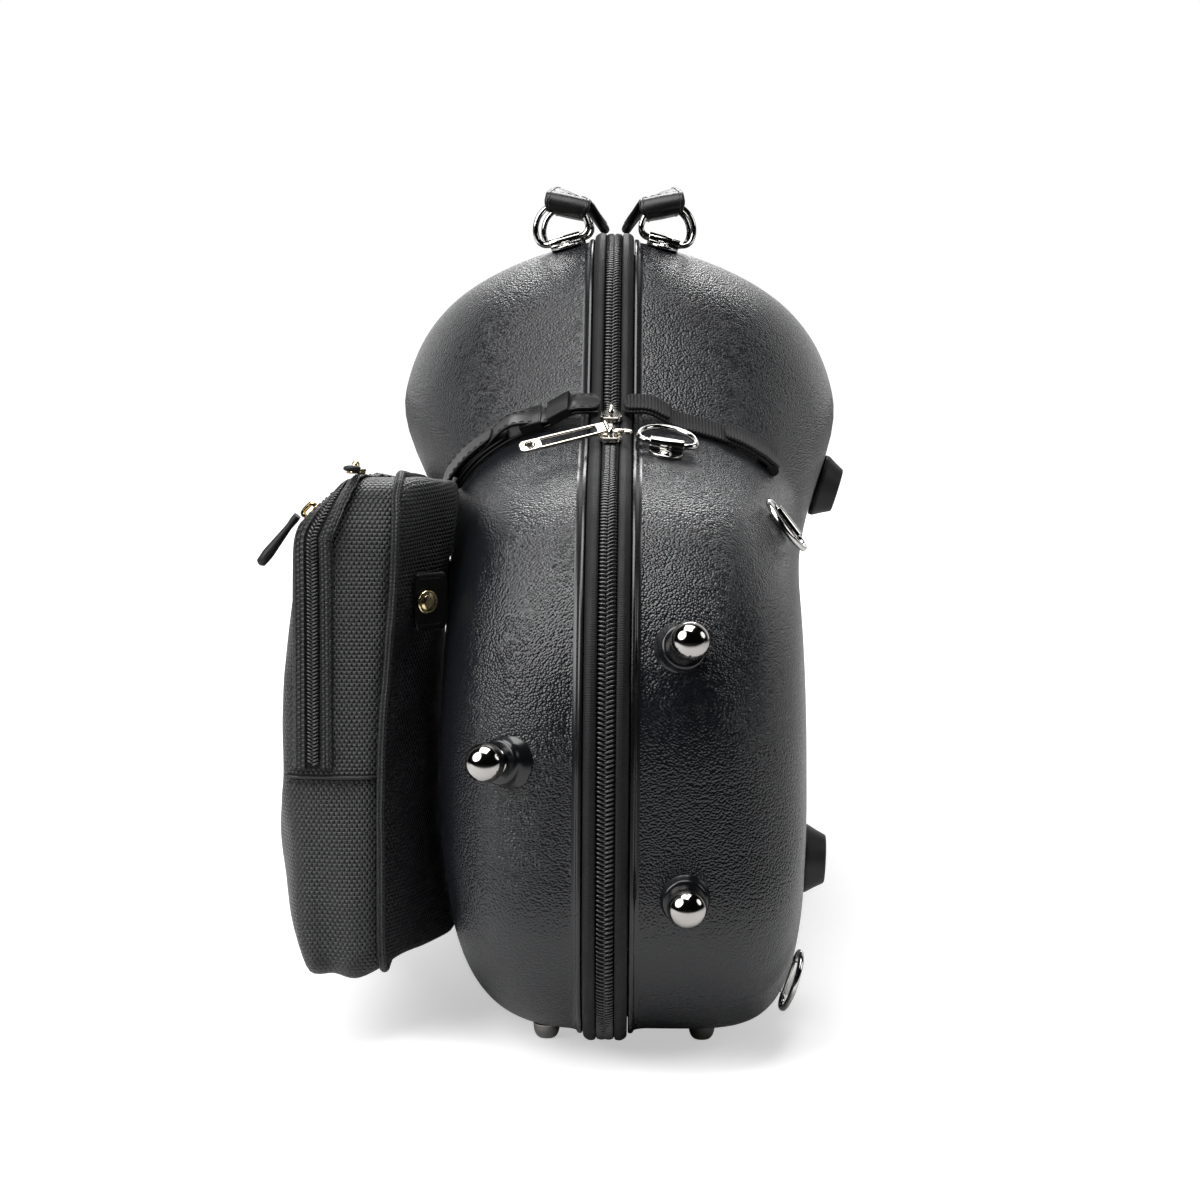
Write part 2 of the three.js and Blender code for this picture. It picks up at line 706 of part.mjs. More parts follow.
function buildLyingRings() {
  const shelf = fromAbove(meshes.base_shell, SHELF_RING.x, SHELF_RING.y);
  addRing("shelf", shelf.at, seatBasis(shelf.normal, new Vector3(0, -1, 0)), SHELF_RING.angle);
  for (const [name, place] of Object.entries(STRAP_RINGS)) {
    const { at, normal } = fromSide(meshes.base_shell, 1, place.y, place.z);
    const basis = seatBasis(normal, new Vector3(0, place.plateTowards, 0));
    addRing("strap_" + name, at, basis, LYING_ANGLE);
  }
}

// Half handles: leather that loops round two upright rings and droops towards the seam between them

function handlePath() {
  const loopTop = RING.halfWidth + RING.wire + 2 * CLEARANCE + HANDLE.leather / 2;
  const heights = { tail: loopTop - HANDLE.leather - CLEARANCE, top: loopTop };
  const ring = RING.halfWidth;
  const nearEnd = HANDLE_LOOP_SHARES.map(([alongShare, upShare, width]) => [
    alongShare * ring,
    heights[upShare] ?? upShare * ring,
    width,
  ]);
  const grip = HANDLE_GRIP_SHARES.map((share) => {
    const bend = Math.sin(Math.PI * share) ** HANDLE.bendPower;
    return [share * HANDLE.pivotSpan, loopTop + HANDLE.arch * bend, 1 + bend];
  });
  const farEnd = nearEnd.map(([y, h, width]) => [HANDLE.pivotSpan - y, h, width]).reverse();
  return [...nearEnd, ...grip, ...farEnd];
}

const GRIP_POINTS = 5;

// Across the handle, X runs towards the seam. A width of 0 is the inner tail, 1 the loop, 2 the grip.
function handleGeometry(inwards) {
  const path = handlePath();
  const rings = path.map(([y, h, width], i) => {
    const before = path[Math.max(i - 1, 0)];
    const after = path[Math.min(i + 1, path.length - 1)];
    const normal = new Vector2(before[1] - after[1], after[0] - before[0]).normalize();
    const grip = Math.max(width - 1, 0);
    const loop = lerp(HANDLE.innerHalf, HANDLE.loopHalf, Math.min(width, 1));
    const left = -lerp(loop, HANDLE.gripOut, grip);
    const right = lerp(loop, HANDLE.gripIn, grip);
    const under = [];
    const over = [];
    for (let k = 0; k < GRIP_POINTS; k++) {
      const share = k / (GRIP_POINTS - 1);
      const drop = grip * HANDLE.droop * share ** 2;
      const lean = grip * share * HANDLE.leanShare;
      const x = inwards * lerp(left, right, share);
      const half = HANDLE.leather / 2;
      const side = inwards * lean * half;
      under.push(new Vector3(x - side, y - normal.x * half, h - drop - normal.y * half));
      over.push(new Vector3(x + side, y + normal.x * half, h - drop + normal.y * half));
    }
    return [...under, ...over.reverse()];
  });
  return skin(rings, false);
}

function buildHandles() {
  for (const name of ["base", "lid"]) {
    const side = name === "base" ? 1 : -1;
    const shell = meshes[name + "_shell"];
    const farY = HANDLE.nearY + HANDLE.pivotSpan;
    const near = fromAbove(shell, side * HANDLE.plateX, HANDLE.nearY);
    const far = fromAbove(shell, side * HANDLE.plateX, farY);
    const lean = near.normal.clone().add(far.normal).setY(0).normalize();
    const nearBasis = seatBasis(lean, new Vector3(0, -1, 0));
    const farBasis = seatBasis(lean, AXIS.y);
    addRing("handle_" + name + "_near", near.at, nearBasis, Math.PI / 2);
    addRing("handle_" + name + "_far", far.at, farBasis, Math.PI / 2);
    const crown = CLEARANCE + SLEEVE.rise + SLEEVE.half + RING.cornerRadius + RING.armLength;
    const along = far.at.clone().sub(near.at).normalize();
    const inwards = new Vector3(-side * Math.cos(HANDLE.tilt), 0, -Math.sin(HANDLE.tilt));
    const up = new Vector3().crossVectors(inwards, along).multiplyScalar(-side).normalize();
    const across = new Vector3().crossVectors(along, up);
    const centre = near.at.clone().addScaledVector(lean, crown);
    const frame = addPivot(centre, across, along, up);
    addMesh(name + "_handle", handleGeometry(-side), "leather", frame);
  }
}

// Closure strap across the valley behind the sliders

const FLANK_SLOPE = Math.atan2(DOME.nearZ - VALLEY.z, DOME.nearY - VALLEY.y);
const VALLEY_SLOPE = (SHELF_SLOPE + FLANK_SLOPE) / 2;
const VALLEY_UP = new Vector3(0, -Math.sin(VALLEY_SLOPE), Math.cos(VALLEY_SLOPE));
const VALLEY_ALONG = new Vector3(0, Math.cos(VALLEY_SLOPE), Math.sin(VALLEY_SLOPE));

function strapPoint(shell, side, across, width) {
  const from = new Vector3(side * Math.max(across, LIP.flare), VALLEY.y, VALLEY.z);
  from.addScaledVector(VALLEY_ALONG, CLOSURE.offset + width).addScaledVector(VALLEY_UP, DOME.nearZ);
  const found = seat(shell, from, VALLEY_UP.clone().negate()).at.setX(side * across);
  const ramp = smoothBetween(across, CLOSURE.seamHalf, CLOSURE.rampEnd);
  return found.addScaledVector(VALLEY_UP, lerp(CLOSURE.overSeam, CLOSURE.lift, ramp));
}

function strapGeometry(name, start, reach, thickness, raise = 0) {
  const side = name === "base" ? 1 : -1;
  const shell = meshes[name + "_shell"];
  const half = CLOSURE.halfWidth;
  const columns = [];
  for (let i = 0; i <= CLOSURE.steps; i++) {
    const across = lerp(start, reach, i / CLOSURE.steps);
    columns.push([-half, 0, half].map((width) => strapPoint(shell, side, across, width)));
  }
  const rings = columns.map((column, i) => {
    const before = columns[Math.max(i - 1, 0)];
    const after = columns[Math.min(i + 1, columns.length - 1)];
    const normals = column.map((_, k) => {
      const along = after[k].clone().sub(before[k]);
      return new Vector3().crossVectors(along, VALLEY_ALONG).multiplyScalar(side).normalize();
    });
    const under = column.map((p, k) => p.clone().addScaledVector(normals[k], raise));
    const over = column.map((p, k) => p.clone().addScaledVector(normals[k], raise + thickness));
    return [...under, ...over.reverse()];
  });
  return skin(rings, false);
}

function buildClosure() {
  const base = strapGeometry("base", CLOSURE.middleGap, CLOSURE.baseReach, CLOSURE.webbing);
  addMesh("closure_strap_base", base, "cloth");
  const lid = strapGeometry("lid", CLOSURE.middleGap, CLOSURE.lidReach, CLOSURE.leather);
  addMesh("closure_strap_lid", lid, "leather");
  for (const [name, index] of [["closure_keeper_inner", 0], ["closure_keeper_outer", 1]]) {
    const start = KEEPER.start + index * KEEPER.pitch;
    const raise = CLOSURE.leather + CLEARANCE;
    const band = strapGeometry("lid", start, start + KEEPER.length, KEEPER.wall, raise);
    addMesh(name, band, "leather");
  }
}

// Zip sliders on the shelf, with their pulls

function sliderGeometry() {
  const plate = new THREE.BoxGeometry(2 * SLIDER.halfWidth, SLIDER.base, SLIDER.length);
  plate.translate(0, SLIDER.base / 2, 0);
  const shape = new THREE.Shape();
  const half = SLIDER.bailLength / 2;
  shape.moveTo(-half, 0);
  shape.lineTo(half, 0);
  shape.lineTo(half * SLIDER.bailTopShare, SLIDER.bailHeight);
  shape.lineTo(-half * SLIDER.bailTopShare, SLIDER.bailHeight);
  shape.closePath();
  const bail = new THREE.ExtrudeGeometry(shape, { depth: 2 * SLIDER.bailHalf, bevelEnabled: false });
  bail.translate(0, SLIDER.base / 2, -SLIDER.bailHalf).rotateY(Math.PI / 2);
  return fromSolid(toSolid(plate).add(toSolid(bail)));
}

function addSlider(name, y) {
  const along = new Vector3(0, Math.cos(SHELF_SLOPE), Math.sin(SHELF_SLOPE));
  const up = new Vector3(0, -along.z, along.y);
  const rise = WELT.crownHeight + CLEARANCE;
  const at = new Vector3(0, y, shelfAt(y)).addScaledVector(up, rise);
  const pivot = addPivot(at, new Vector3(-1, 0, 0), up, along);
  addMesh(name, sliderGeometry(), "chrome", pivot);
  return pivot;
}

// A flat pull along +X of its frame, slotted when it has room for the slot.
function pullGeometry(length, width, thickness, slot) {
  const shape = new THREE.Shape();
  const half = width / 2;
  shape.moveTo(0, -half);
  shape.lineTo(length - half, -half);
  shape.absarc(length - half, 0, half, -Math.PI / 2, Math.PI / 2, false);
  shape.lineTo(0, half);
  shape.closePath();
  if (slot) {
    const hole = new THREE.Path();
    hole.moveTo(half, -slot / 2);
    hole.lineTo(half, slot / 2);
    hole.lineTo(length - width, slot / 2);
    hole.lineTo(length - width, -slot / 2);
    hole.closePath();
    shape.holes.push(hole);
  }
  const geometry = new THREE.ExtrudeGeometry(shape, {
    depth: thickness,
    bevelEnabled: false,
    curveSegments: PULL.endSteps,
  });
  return geometry.rotateX(-Math.PI / 2);
}

function buildSliders() {
  const near = addSlider("zip_slider_near", SLIDERS.near);
  addSlider("zip_slider_far", SLIDERS.far);
  const longPivot = new THREE.Group();
  const clear = SLIDER.bailHalf + CLEARANCE + (PULL.width / 2) * Math.sin(PULL.turn);
  longPivot.position.set(clear, SLIDER.base + PULL.rise, SLIDER.bailLength / 4);
  longPivot.rotation.set(0, PULL.turn, -PULL.dip, "YXZ");
  near.add(longPivot);
  const pull = pullGeometry(PULL.length, PULL.width, PULL.thickness, PULL.slot);
  addMesh("zip_pull_long", pull, "chrome", longPivot);
  const hookPivot = new THREE.Group();
  hookPivot.position.set(-SLIDER.bailHalf - CLEARANCE, SLIDER.base + CLEARANCE, 0);
  hookPivot.rotation.y = Math.PI;
  near.add(hookPivot);
  addMesh("zip_hook", pullGeometry(HOOK.length, HOOK.width, HOOK.thickness, 0), "chrome", hookPivot);
}

// Pocket: the meeting of its plan, its section and its side outline

function extrudeAlong(points, from, to, basis) {
  const geometry = new THREE.ExtrudeGeometry(new THREE.Shape(points), {
    depth: to - from,
    bevelEnabled: false,
  });
  geometry.translate(0, 0, from);
  geometry.applyMatrix4(new THREE.Matrix4().makeBasis(...basis));
  return toSolid(geometry);
}

const ALONG_Y = [AXIS.x, AXIS.z, AXIS.y.clone().negate()];

// The pocket gets lower towards the neck end.
function taperedZ(y, z) {
  const share = (y - POCKET.nearY) / POCKET.length;
  const factor = lerp(1, POCKET.farHeight / POCKET.height, share);
  return POCKET.bottomZ + (z - POCKET.bottomZ) * factor;
}

function tapered(geometry) {
  const at = geometry.getAttribute("position");
  for (let i = 0; i < at.count; i++) {
    at.setZ(i, taperedZ(at.getY(i), at.getZ(i)));
  }
  geometry.computeVertexNormals();
  return geometry;
}

function pocketBackAt(y) {
  const levels = [];
  for (let i = 0; i <= POCKET_LEVELS; i++) {
    levels.push(taperedZ(y, POCKET.bottomZ + (POCKET.height * i) / POCKET_LEVELS));
  }
  const found = levels.map((z) => fromSide(meshes.lid_shell, -1, y, z)).filter(Boolean);
  return Math.min(...found.map((hit) => hit.at.x)) - POCKET_GAP;
}

function pocketPlan(inset) {
  const nearY = POCKET.nearY + inset;
  const farY = POCKET.nearY + POCKET.length - inset;
  const front = POCKET.frontX + inset;
  const bevelEnd = POCKET.nearY + POCKET.bevelY;
  const back = POCKET_BACK_SHARES.map((share) => {
    const y = lerp(bevelEnd, POCKET.nearY + POCKET.length, share);
    return new Vector2(pocketBackAt(y) - inset, Math.min(y, farY));
  });
  return [
    new Vector2(front, nearY),
    new Vector2(POCKET.backX - inset / 2, nearY),
    ...back,
    new Vector2(front - POCKET.slant, farY),
  ];
}

function pocketSection(inset) {
  const top = POCKET.bottomZ + POCKET.height - inset;
  const bottom = POCKET.bottomZ + inset;
  const front = POCKET.profile.map(
    ([back, rise]) => new Vector2(POCKET.frontX + back + inset, clamp(POCKET.bottomZ + rise, bottom, top)),
  );
  return [new Vector2(0, bottom), ...front, new Vector2(0, top)];
}

function pocketSide(inset) {
  const [nearY, farY] = [POCKET.nearY + inset, POCKET.nearY + POCKET.length - inset];
  const [low, high] = [POCKET.bottomZ + inset, POCKET.bottomZ + POCKET.height - inset];
  const r = POCKET.corner - inset;
  const corners = [
    [farY - r, low + r, -Math.PI / 2],
    [farY - r, high - r, 0],
    [nearY + r, high - r, Math.PI / 2],
    [nearY + r, low + r, Math.PI],
  ];
  const points = [];
  for (const [y, z, start] of corners) {
    for (let k = 0; k <= POCKET.cornerSteps; k++) {
      const angle = start + ((Math.PI / 2) * k) / POCKET.cornerSteps;
      points.push(new Vector2(y + r * Math.cos(angle), z + r * Math.sin(angle)));
    }
  }
  return points;
}

function pocketSolid(inset) {
  const low = POCKET.bottomZ - POCKET.height;
  const high = POCKET.bottomZ + 2 * POCKET.height;
  const plan = extrudeAlong(pocketPlan(inset), low, high, [AXIS.x, AXIS.y, AXIS.z]);
  const ends = [-SHELL_LENGTH, SHELL_LENGTH];
  const section = extrudeAlong(pocketSection(inset), ...ends, ALONG_Y);
  const side = extrudeAlong(pocketSide(inset), ...ends, [AXIS.y, AXIS.z, AXIS.x]);
  return plan.intersect(section).intersect(side);
}

// The front that unzips, grown by a gap for the cut in the body.
function pocketFrontCutter(gap) {
  const outer = POCKET.frontX - POCKET.height;
  const zipX = POCKET.frontX + POCKET.zipInset + gap;
  const top = POCKET.bottomZ + POCKET.height;
  const bendZ = top - POCKET.chamferHeight;
  const slope = (POCKET.zipTopInset - POCKET.zipInset) / POCKET.chamferHeight;
  const rise = POCKET.height;
  return extrudeAlong(
    [
      new Vector2(outer, POCKET.flapZ - gap),
      new Vector2(zipX, POCKET.flapZ - gap),
      new Vector2(zipX, bendZ),
      new Vector2(zipX + slope * rise, bendZ + rise),
      new Vector2(outer, bendZ + rise),
    ],
    -SHELL_LENGTH,
    SHELL_LENGTH,
    ALONG_Y,
  );
}

function buildPocket() {
  const hollow = pocketSolid(0).subtract(pocketSolid(POCKET.wall));
  addMesh("pocket_body", tapered(fromSolid(hollow.subtract(pocketFrontCutter(CLEARANCE)))), "cloth");
  addMesh("pocket_front", tapered(fromSolid(hollow.intersect(pocketFrontCutter(0)))), "cloth");
}

function buildPocketSlider() {
  const zipX = POCKET.frontX + POCKET.zipTopInset;
  const y = POCKET_SLIDER.y;
  const top = taperedZ(y, POCKET.bottomZ + POCKET.height);
  const slope = Math.atan2(POCKET.height - POCKET.farHeight, POCKET.length);
  const along = new Vector3(0, Math.cos(slope), -Math.sin(slope));
  const up = new Vector3(0, -along.z, along.y);
  const slider = addPivot(new Vector3(zipX, y, top + CLEARANCE), AXIS.x, along, up);
  const body = new THREE.BoxGeometry(POCKET_SLIDER.width, POCKET_SLIDER.length, POCKET_SLIDER.height);
  addMesh("pocket_slider", body.translate(0, 0, POCKET_SLIDER.height / 2), "gold", slider);
  const pull = pullGeometry(POCKET_PULL.length, POCKET_PULL.width, POCKET_PULL.thickness, 0);
  const pullPivot = new THREE.Group();
  pullPivot.position.set(0, -POCKET_SLIDER.length / 2 - CLEARANCE, 2 * CLEARANCE);
  pullPivot.rotation.set(Math.PI / 2, 0, -Math.PI / 2, "ZYX");
  slider.add(pullPivot);
  addMesh("pocket_pull", pull, "rubber", pullPivot);
}

// The slider of the compartment in the pocket's front, with a rubber pull that hangs off it.
function buildFrontSlider() {
  const { width, length, height, y, share } = FRONT_SLIDER;
  const [low, high] = POCKET.profile.slice(-2).map(
    ([back, rise]) => new Vector3(POCKET.frontX + back, y, taperedZ(y, POCKET.bottomZ + rise)),
  );
  const down = low.clone().sub(high).normalize();
  const out = new Vector3(down.z, 0, -down.x);
  const at = low.clone().lerp(high, share).addScaledVector(out, CLEARANCE);
  const slider = addPivot(at, down, out, new Vector3().crossVectors(down, out));
  const body = new THREE.BoxGeometry(length, height, width).translate(0, height / 2, 0);
  addMesh("front_slider", body, "gold", slider);
  const pull = pullGeometry(RUBBER_PULL.length, RUBBER_PULL.width, RUBBER_PULL.thickness, 0);
  const hang = new THREE.Group();
  hang.position.set(length / 2 + CLEARANCE, height - CLEARANCE, 0);
  hang.rotation.z = -RUBBER_PULL.dip;
  slider.add(hang);
  addMesh("front_pull", pull, "rubber", hang);
}

// Leather tabs that hold the pocket to the lid, bent through a few points in plan
function tabGeometry(points, z) {
  const half = TAB.width / 2;
  const rings = points.map((p, i) => {
    const before = points[Math.max(i - 1, 0)];
    const after = points[Math.min(i + 1, points.length - 1)];
    const along = after.clone().sub(before).normalize();
    const out = new Vector2(along.y, -along.x).multiplyScalar(TAB.thickness / 2);
    return [
      new Vector3(p.x - out.x, p.y - out.y, z - half),
      new Vector3(p.x + out.x, p.y + out.y, z - half),
      new Vector3(p.x + out.x, p.y + out.y, z + half),
      new Vector3(p.x - out.x, p.y - out.y, z + half),
    ];
  });
  return skin(rings, false);
}

// A point off the lid's side that clears the whole width of a tab.
function onShellSide(y, z, off) {
  const half = TAB.width / 2;
  const found = [z - half, z, z + half].map((level) => fromSide(meshes.lid_shell, -1, y, level));
  const outermost = found.reduce((a, b) => (a.at.x < b.at.x ? a : b));
  const at = outermost.at.addScaledVector(outermost.normal, off);
  return new Vector2(at.x, at.y);
}

function buildTabs() {
  const off = TAB.thickness / 2 + 2 * CLEARANCE;
  const bevelX = pocketBackAt(POCKET.nearY + POCKET.bevelY) - POCKET.backX;
  const bevelOut = new Vector2(POCKET.bevelY, -bevelX).normalize();
  const onBevel = (share) =>
    new Vector2(POCKET.backX, POCKET.nearY)
      .addScaledVector(new Vector2(bevelX, POCKET.bevelY), share)
      .addScaledVector(bevelOut, off);
  const nearPath = [...TAB.bevelShares.map(onBevel), onShellSide(TAB.nearY, TAB.z, off)];
  addMesh("pocket_tab_near", tabGeometry(nearPath, TAB.z), "leather");
  const farFace = POCKET.nearY + POCKET.length + off;
  const farX = pocketBackAt(POCKET.nearY + POCKET.length);
  const farZ = TAB.z - TAB.shellReach;
  const farPath = [
    new Vector2(farX - TAB.shellReach / 2, farFace),
    new Vector2(farX - TAB.thickness, farFace),
    onShellSide(farFace + TAB.shellReach / 3, farZ, off + CLEARANCE),
    onShellSide(farFace + TAB.shellReach, farZ, off),
  ];
  addMesh("pocket_tab_far", tabGeometry(farPath, farZ), "leather");
  const [from, to] = nearPath.slice(-2);
  const along = to.clone().sub(from).normalize();
  const out = new Vector3(along.y, -along.x, 0);
  const spot = from.clone().add(to).multiplyScalar(0.5);
  const at = new Vector3(spot.x, spot.y, TAB.z).addScaledVector(out, TAB.thickness / 2 + CLEARANCE);
  const snap = new THREE.CylinderGeometry(TAB.snapRadius, TAB.snapRadius, TAB.snapHeight, TAB.snapSides);
  snap.translate(0, TAB.snapHeight / 2, 0);
  addMesh("pocket_snap", snap, "gold", addPivot(at, ...seatBasis(out, AXIS.z)));
}

// Foam cradles on the floor of the base, each with a round notch for the instrument
function buildCradles() {
  for (const [name, cradle] of [["bow_cradle", BOW_CRADLE], ["neck_cradle", NECK_CRADLE]]) {
    const half = cradle.width / 2;
    const ends = [cradle.y - cradle.length / 2, cradle.y + cradle.length / 2];
    const spots = ends.flatMap((y) => [-half, 0, half].map((dz) => [y, cradle.z + dz]));
    const floor = Math.min(
      ...spots.map(([y, z]) => seat(meshes.base_liner, new Vector3(0, y, z), AXIS.x).at.x),
    );
    const shape = new THREE.Shape();
    const low = floor - CLEARANCE;
    const high = low - cradle.height;
    shape.moveTo(low, -half);
    shape.lineTo(low, half);
    shape.lineTo(high, half);
    shape.lineTo(high, cradle.notch);
    shape.absarc(high, 0, cradle.notch, Math.PI / 2, -Math.PI / 2, true);
    shape.lineTo(high, -half);
    shape.closePath();
    const block = new THREE.ExtrudeGeometry(shape, {
      depth: cradle.length,
      bevelEnabled: false,
      curveSegments: cradle.steps,
    });
    block.rotateX(Math.PI / 2).translate(0, ends[1], cradle.z);
    addMesh(name, block, "foam");
  }
}

buildShells();
buildPads();
buildEndFeet();
buildBottomFeet();
buildLyingRings();
buildHandles();
buildClosure();
buildSliders();
buildPocket();
buildPocketSlider();
buildFrontSlider();
buildTabs();
buildCradles();

// The origin is at the middle of the footprint, on the floor.
const bounds = new THREE.Box3().setFromObject(caseGroup);
const middle = bounds.getCenter(new Vector3());
caseGroup.position.set(-middle.x, -middle.y, -bounds.min.z);
const root = new THREE.Group();
root.add(caseGroup);

export default root;
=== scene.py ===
"""Tenor saxophone case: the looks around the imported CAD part. Lengths are millimetres in the case's own
frame (seam at X 0, bow end at Y 0, floor at Z 0) until a mesh is made. Only the places of the hardware are
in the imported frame. Blender's own lengths are metres."""
import json
import math

import bmesh
import bpy
import numpy as np
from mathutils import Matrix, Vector
from mathutils.bvhtree import BVHTree


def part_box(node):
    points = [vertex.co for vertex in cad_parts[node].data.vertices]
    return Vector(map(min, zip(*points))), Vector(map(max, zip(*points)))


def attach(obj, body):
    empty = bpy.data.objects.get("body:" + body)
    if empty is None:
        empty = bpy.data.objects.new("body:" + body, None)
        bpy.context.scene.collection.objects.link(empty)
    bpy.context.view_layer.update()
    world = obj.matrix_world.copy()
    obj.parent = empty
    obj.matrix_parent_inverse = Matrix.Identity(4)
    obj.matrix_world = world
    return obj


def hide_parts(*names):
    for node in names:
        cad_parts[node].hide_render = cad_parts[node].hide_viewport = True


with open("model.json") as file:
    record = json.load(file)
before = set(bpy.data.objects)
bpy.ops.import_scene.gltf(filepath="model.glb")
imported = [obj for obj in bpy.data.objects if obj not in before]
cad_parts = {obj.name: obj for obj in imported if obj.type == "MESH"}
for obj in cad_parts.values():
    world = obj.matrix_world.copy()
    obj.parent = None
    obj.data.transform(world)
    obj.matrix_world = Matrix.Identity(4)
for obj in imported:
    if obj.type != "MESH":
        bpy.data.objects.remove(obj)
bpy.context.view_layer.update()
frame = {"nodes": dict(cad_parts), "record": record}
SHIFT = np.array([15.6096, -390.4324, 0.0])  # from the case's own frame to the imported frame
BODY = {n: b for b, ns in frame["record"]["behaviour"]["bodies"].items() for n in ns}
BASE, LID = 1, -1
SIDES = ((BASE, "base"), (LID, "lid"))


# ---------------------------------------------------------------- small maths
def arr(*rows):
    return np.array(rows, float)


def smooth(x, a, b):
    t = np.clip((np.asarray(x, float) - a) / (b - a), 0, 1)
    return t * t * (3 - 2 * t)


def mix(a, b, t):
    return a + (b - a) * t


def unit(v):
    v = np.asarray(v, float)
    return v / np.maximum(np.linalg.norm(v, axis=-1, keepdims=True), 1e-12)


def circle(count):
    return np.linspace(0, 2 * math.pi, count, endpoint=False)


def lengths(p):
    """Distances along a line of points, from its start."""
    return np.r_[0, np.cumsum(np.linalg.norm(np.diff(p, axis=0), axis=1))]


def sample(p, s, t):
    """Rows of p, which are given at s, read at t."""
    return np.stack([np.interp(t, s, column) for column in p.T], 1)


def even(p, count):
    s = lengths(p)
    return sample(p, s, np.linspace(0, s[-1], count))


def spline(points, count):
    """Catmull-Rom through the points, resampled evenly."""
    p = np.asarray(points, float)
    p = np.vstack([2 * p[0] - p[1], p, 2 * p[-1] - p[-2]])
    out = []
    for i in range(1, len(p) - 2):
        t = np.linspace(0, 1, 16, endpoint=False)[:, None]
        a, b, c, d = p[i - 1:i + 3]
        out.append(.5 * (2 * b + (c - a) * t + (2 * a - 5 * b + 4 * c - d) * t ** 2
                         + (3 * b - a - 3 * c + d) * t ** 3))
    return even(np.vstack(out + [p[-2:-1]]), count)


def calm(points, rounds):
    """Evens out a line of points or rows, with its ends held."""
    p = points.copy()
    for _ in range(rounds):
        p[1:-1] = (p[:-2] + 2 * p[1:-1] + p[2:]) / 4
    return p


# ---------------------------------------------------------------- meshes
def read(items, key, size=3, kind=float):
    """One value of each vertex, loop or face of a mesh, as rows."""
    out = np.zeros(len(items) * size, kind)
    items.foreach_get(key, out)
    return out.reshape(-1, size) if size > 1 else out


def linked(name, data):
    """A new object in the scene."""
    o = bpy.data.objects.new(name, data)
    bpy.context.scene.collection.objects.link(o)
    return o


def new_mesh(name, verts, faces):
    """A mesh in metres from points in millimetres."""
    mesh = bpy.data.meshes.new(name)
    mesh.from_pydata(verts / 1000, [], faces)
    return mesh


def uv_rows(u, v):
    """A UV for each point of a grid, from its rows' and its columns' distances."""
    return np.stack(np.meshgrid(u, v, indexing="ij"), -1)


def evaluated(o):
    return o.evaluated_get(bpy.context.evaluated_depsgraph_get())


def grid(points, wrap_u=False, wrap_v=False, caps=False):
    n, m = points.shape[:2]
    i = np.arange(n if wrap_u else n - 1)[:, None]
    j = np.arange(m if wrap_v else m - 1)[None, :]
    a, b = i * m + j, i * m + (j + 1) % m
    c, d = (i + 1) % n * m + (j + 1) % m, (i + 1) % n * m + j
    faces = np.stack([a, b, c, d], -1).reshape(-1, 4).tolist()
    if caps:
        faces += [list(range(m))[::-1], [(n - 1) * m + k for k in range(m)]]
    return points.reshape(-1, 3), faces


class Piece:
    """Meshes that become one object, each part with its own material."""

    def __init__(self, name, node, mats, slot, sharp=40):
        self.name, self.node, self.slot, self.sharp = name, node, slot, sharp
        self.mats = [MAT[m] for m in mats.split()]
        self.v, self.f, self.m, self.uv, self.count = [], [], [], [], 0

    def add(self, shape, uv=None, mat=0):
        verts = np.asarray(shape[0], float).reshape(-1, 3)
        self.v.append(verts)
        self.f += [[k + self.count for k in f] for f in shape[1]]
        self.m += [mat] * len(shape[1])
        self.uv.append(np.zeros((len(verts), 2)) if uv is None else np.asarray(uv, float).reshape(-1, 2))
        self.count += len(verts)
        return self

    def put(self, stands=True, recalc=True):
        mesh = new_mesh(self.name, np.vstack(self.v) + SHIFT, self.f)
        mesh.polygons.foreach_set("material_index", self.m)
        layer = mesh.uv_layers.new(name="UVMap")
        loops = read(mesh.loops, "vertex_index", 1, int)
        layer.data.foreach_set("uv", (np.vstack(self.uv)[loops] / 1000).ravel())
        if recalc:
            bm = bmesh.new()
            bm.from_mesh(mesh)
            bmesh.ops.recalc_face_normals(bm, faces=bm.faces)
            bm.to_mesh(mesh)
            bm.free()
        shade(mesh, self.sharp)
        for m in self.mats:
            mesh.materials.append(m)
        return settle(linked(self.name, mesh), self.node, stands)


def shade(mesh, sharp):
    """Smooth faces, with the edges over an angle in degrees left sharp."""
    mesh.polygons.foreach_set("use_smooth", [True] * len(mesh.polygons))
    mesh.set_sharp_from_angle(angle=math.radians(sharp))


def settle(o, node, stands=True):
    """Makes the object ride its node's body, and stand for the node."""
    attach(o, BODY[node])
    if stands:
        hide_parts(node)
    return o


def placed(shape, at, x, y, z):
    """A shape from its own frame to the case's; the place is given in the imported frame."""
    verts, faces = shape
    return np.asarray(verts, float).reshape(-1, 3) @ arr(x, y, z) + np.asarray(at, float) - SHIFT, faces


def hardware(name, node, mat, shapes, *place, sharp=40):
    """One piece of one material from shapes in their own frame."""
    piece = Piece(name, node, mat, mat, sharp)
    for shape in shapes:
        piece.add(placed(shape, *place))
    piece.put()


def lathe(profile, sides):
    """Turns (radius, height) pairs about Y."""
    p = arr(*profile)
    a = circle(sides)
    pts = np.stack([p[:, None, 0] * np.cos(a), np.broadcast_to(p[:, None, 1], (len(p), sides)),
                    p[:, None, 0] * np.sin(a)], -1)
    return grid(pts, wrap_v=True, caps=True)


def rounded(profile, radius, steps=5):
    """A polyline with its inner corners rounded."""
    p = arr(*profile)
    out = [p[0]]
    for i in range(1, len(p) - 1):
        a, b = p[i - 1] - p[i], p[i + 1] - p[i]
        r = min(radius, .45 * np.linalg.norm(a), .45 * np.linalg.norm(b))
        s, e = p[i] + unit(a) * r, p[i] + unit(b) * r
        for t in np.linspace(0, 1, steps):
            out.append((1 - t) ** 2 * s + 2 * t * (1 - t) * p[i] + t * t * e)
    return out + [p[-1]]


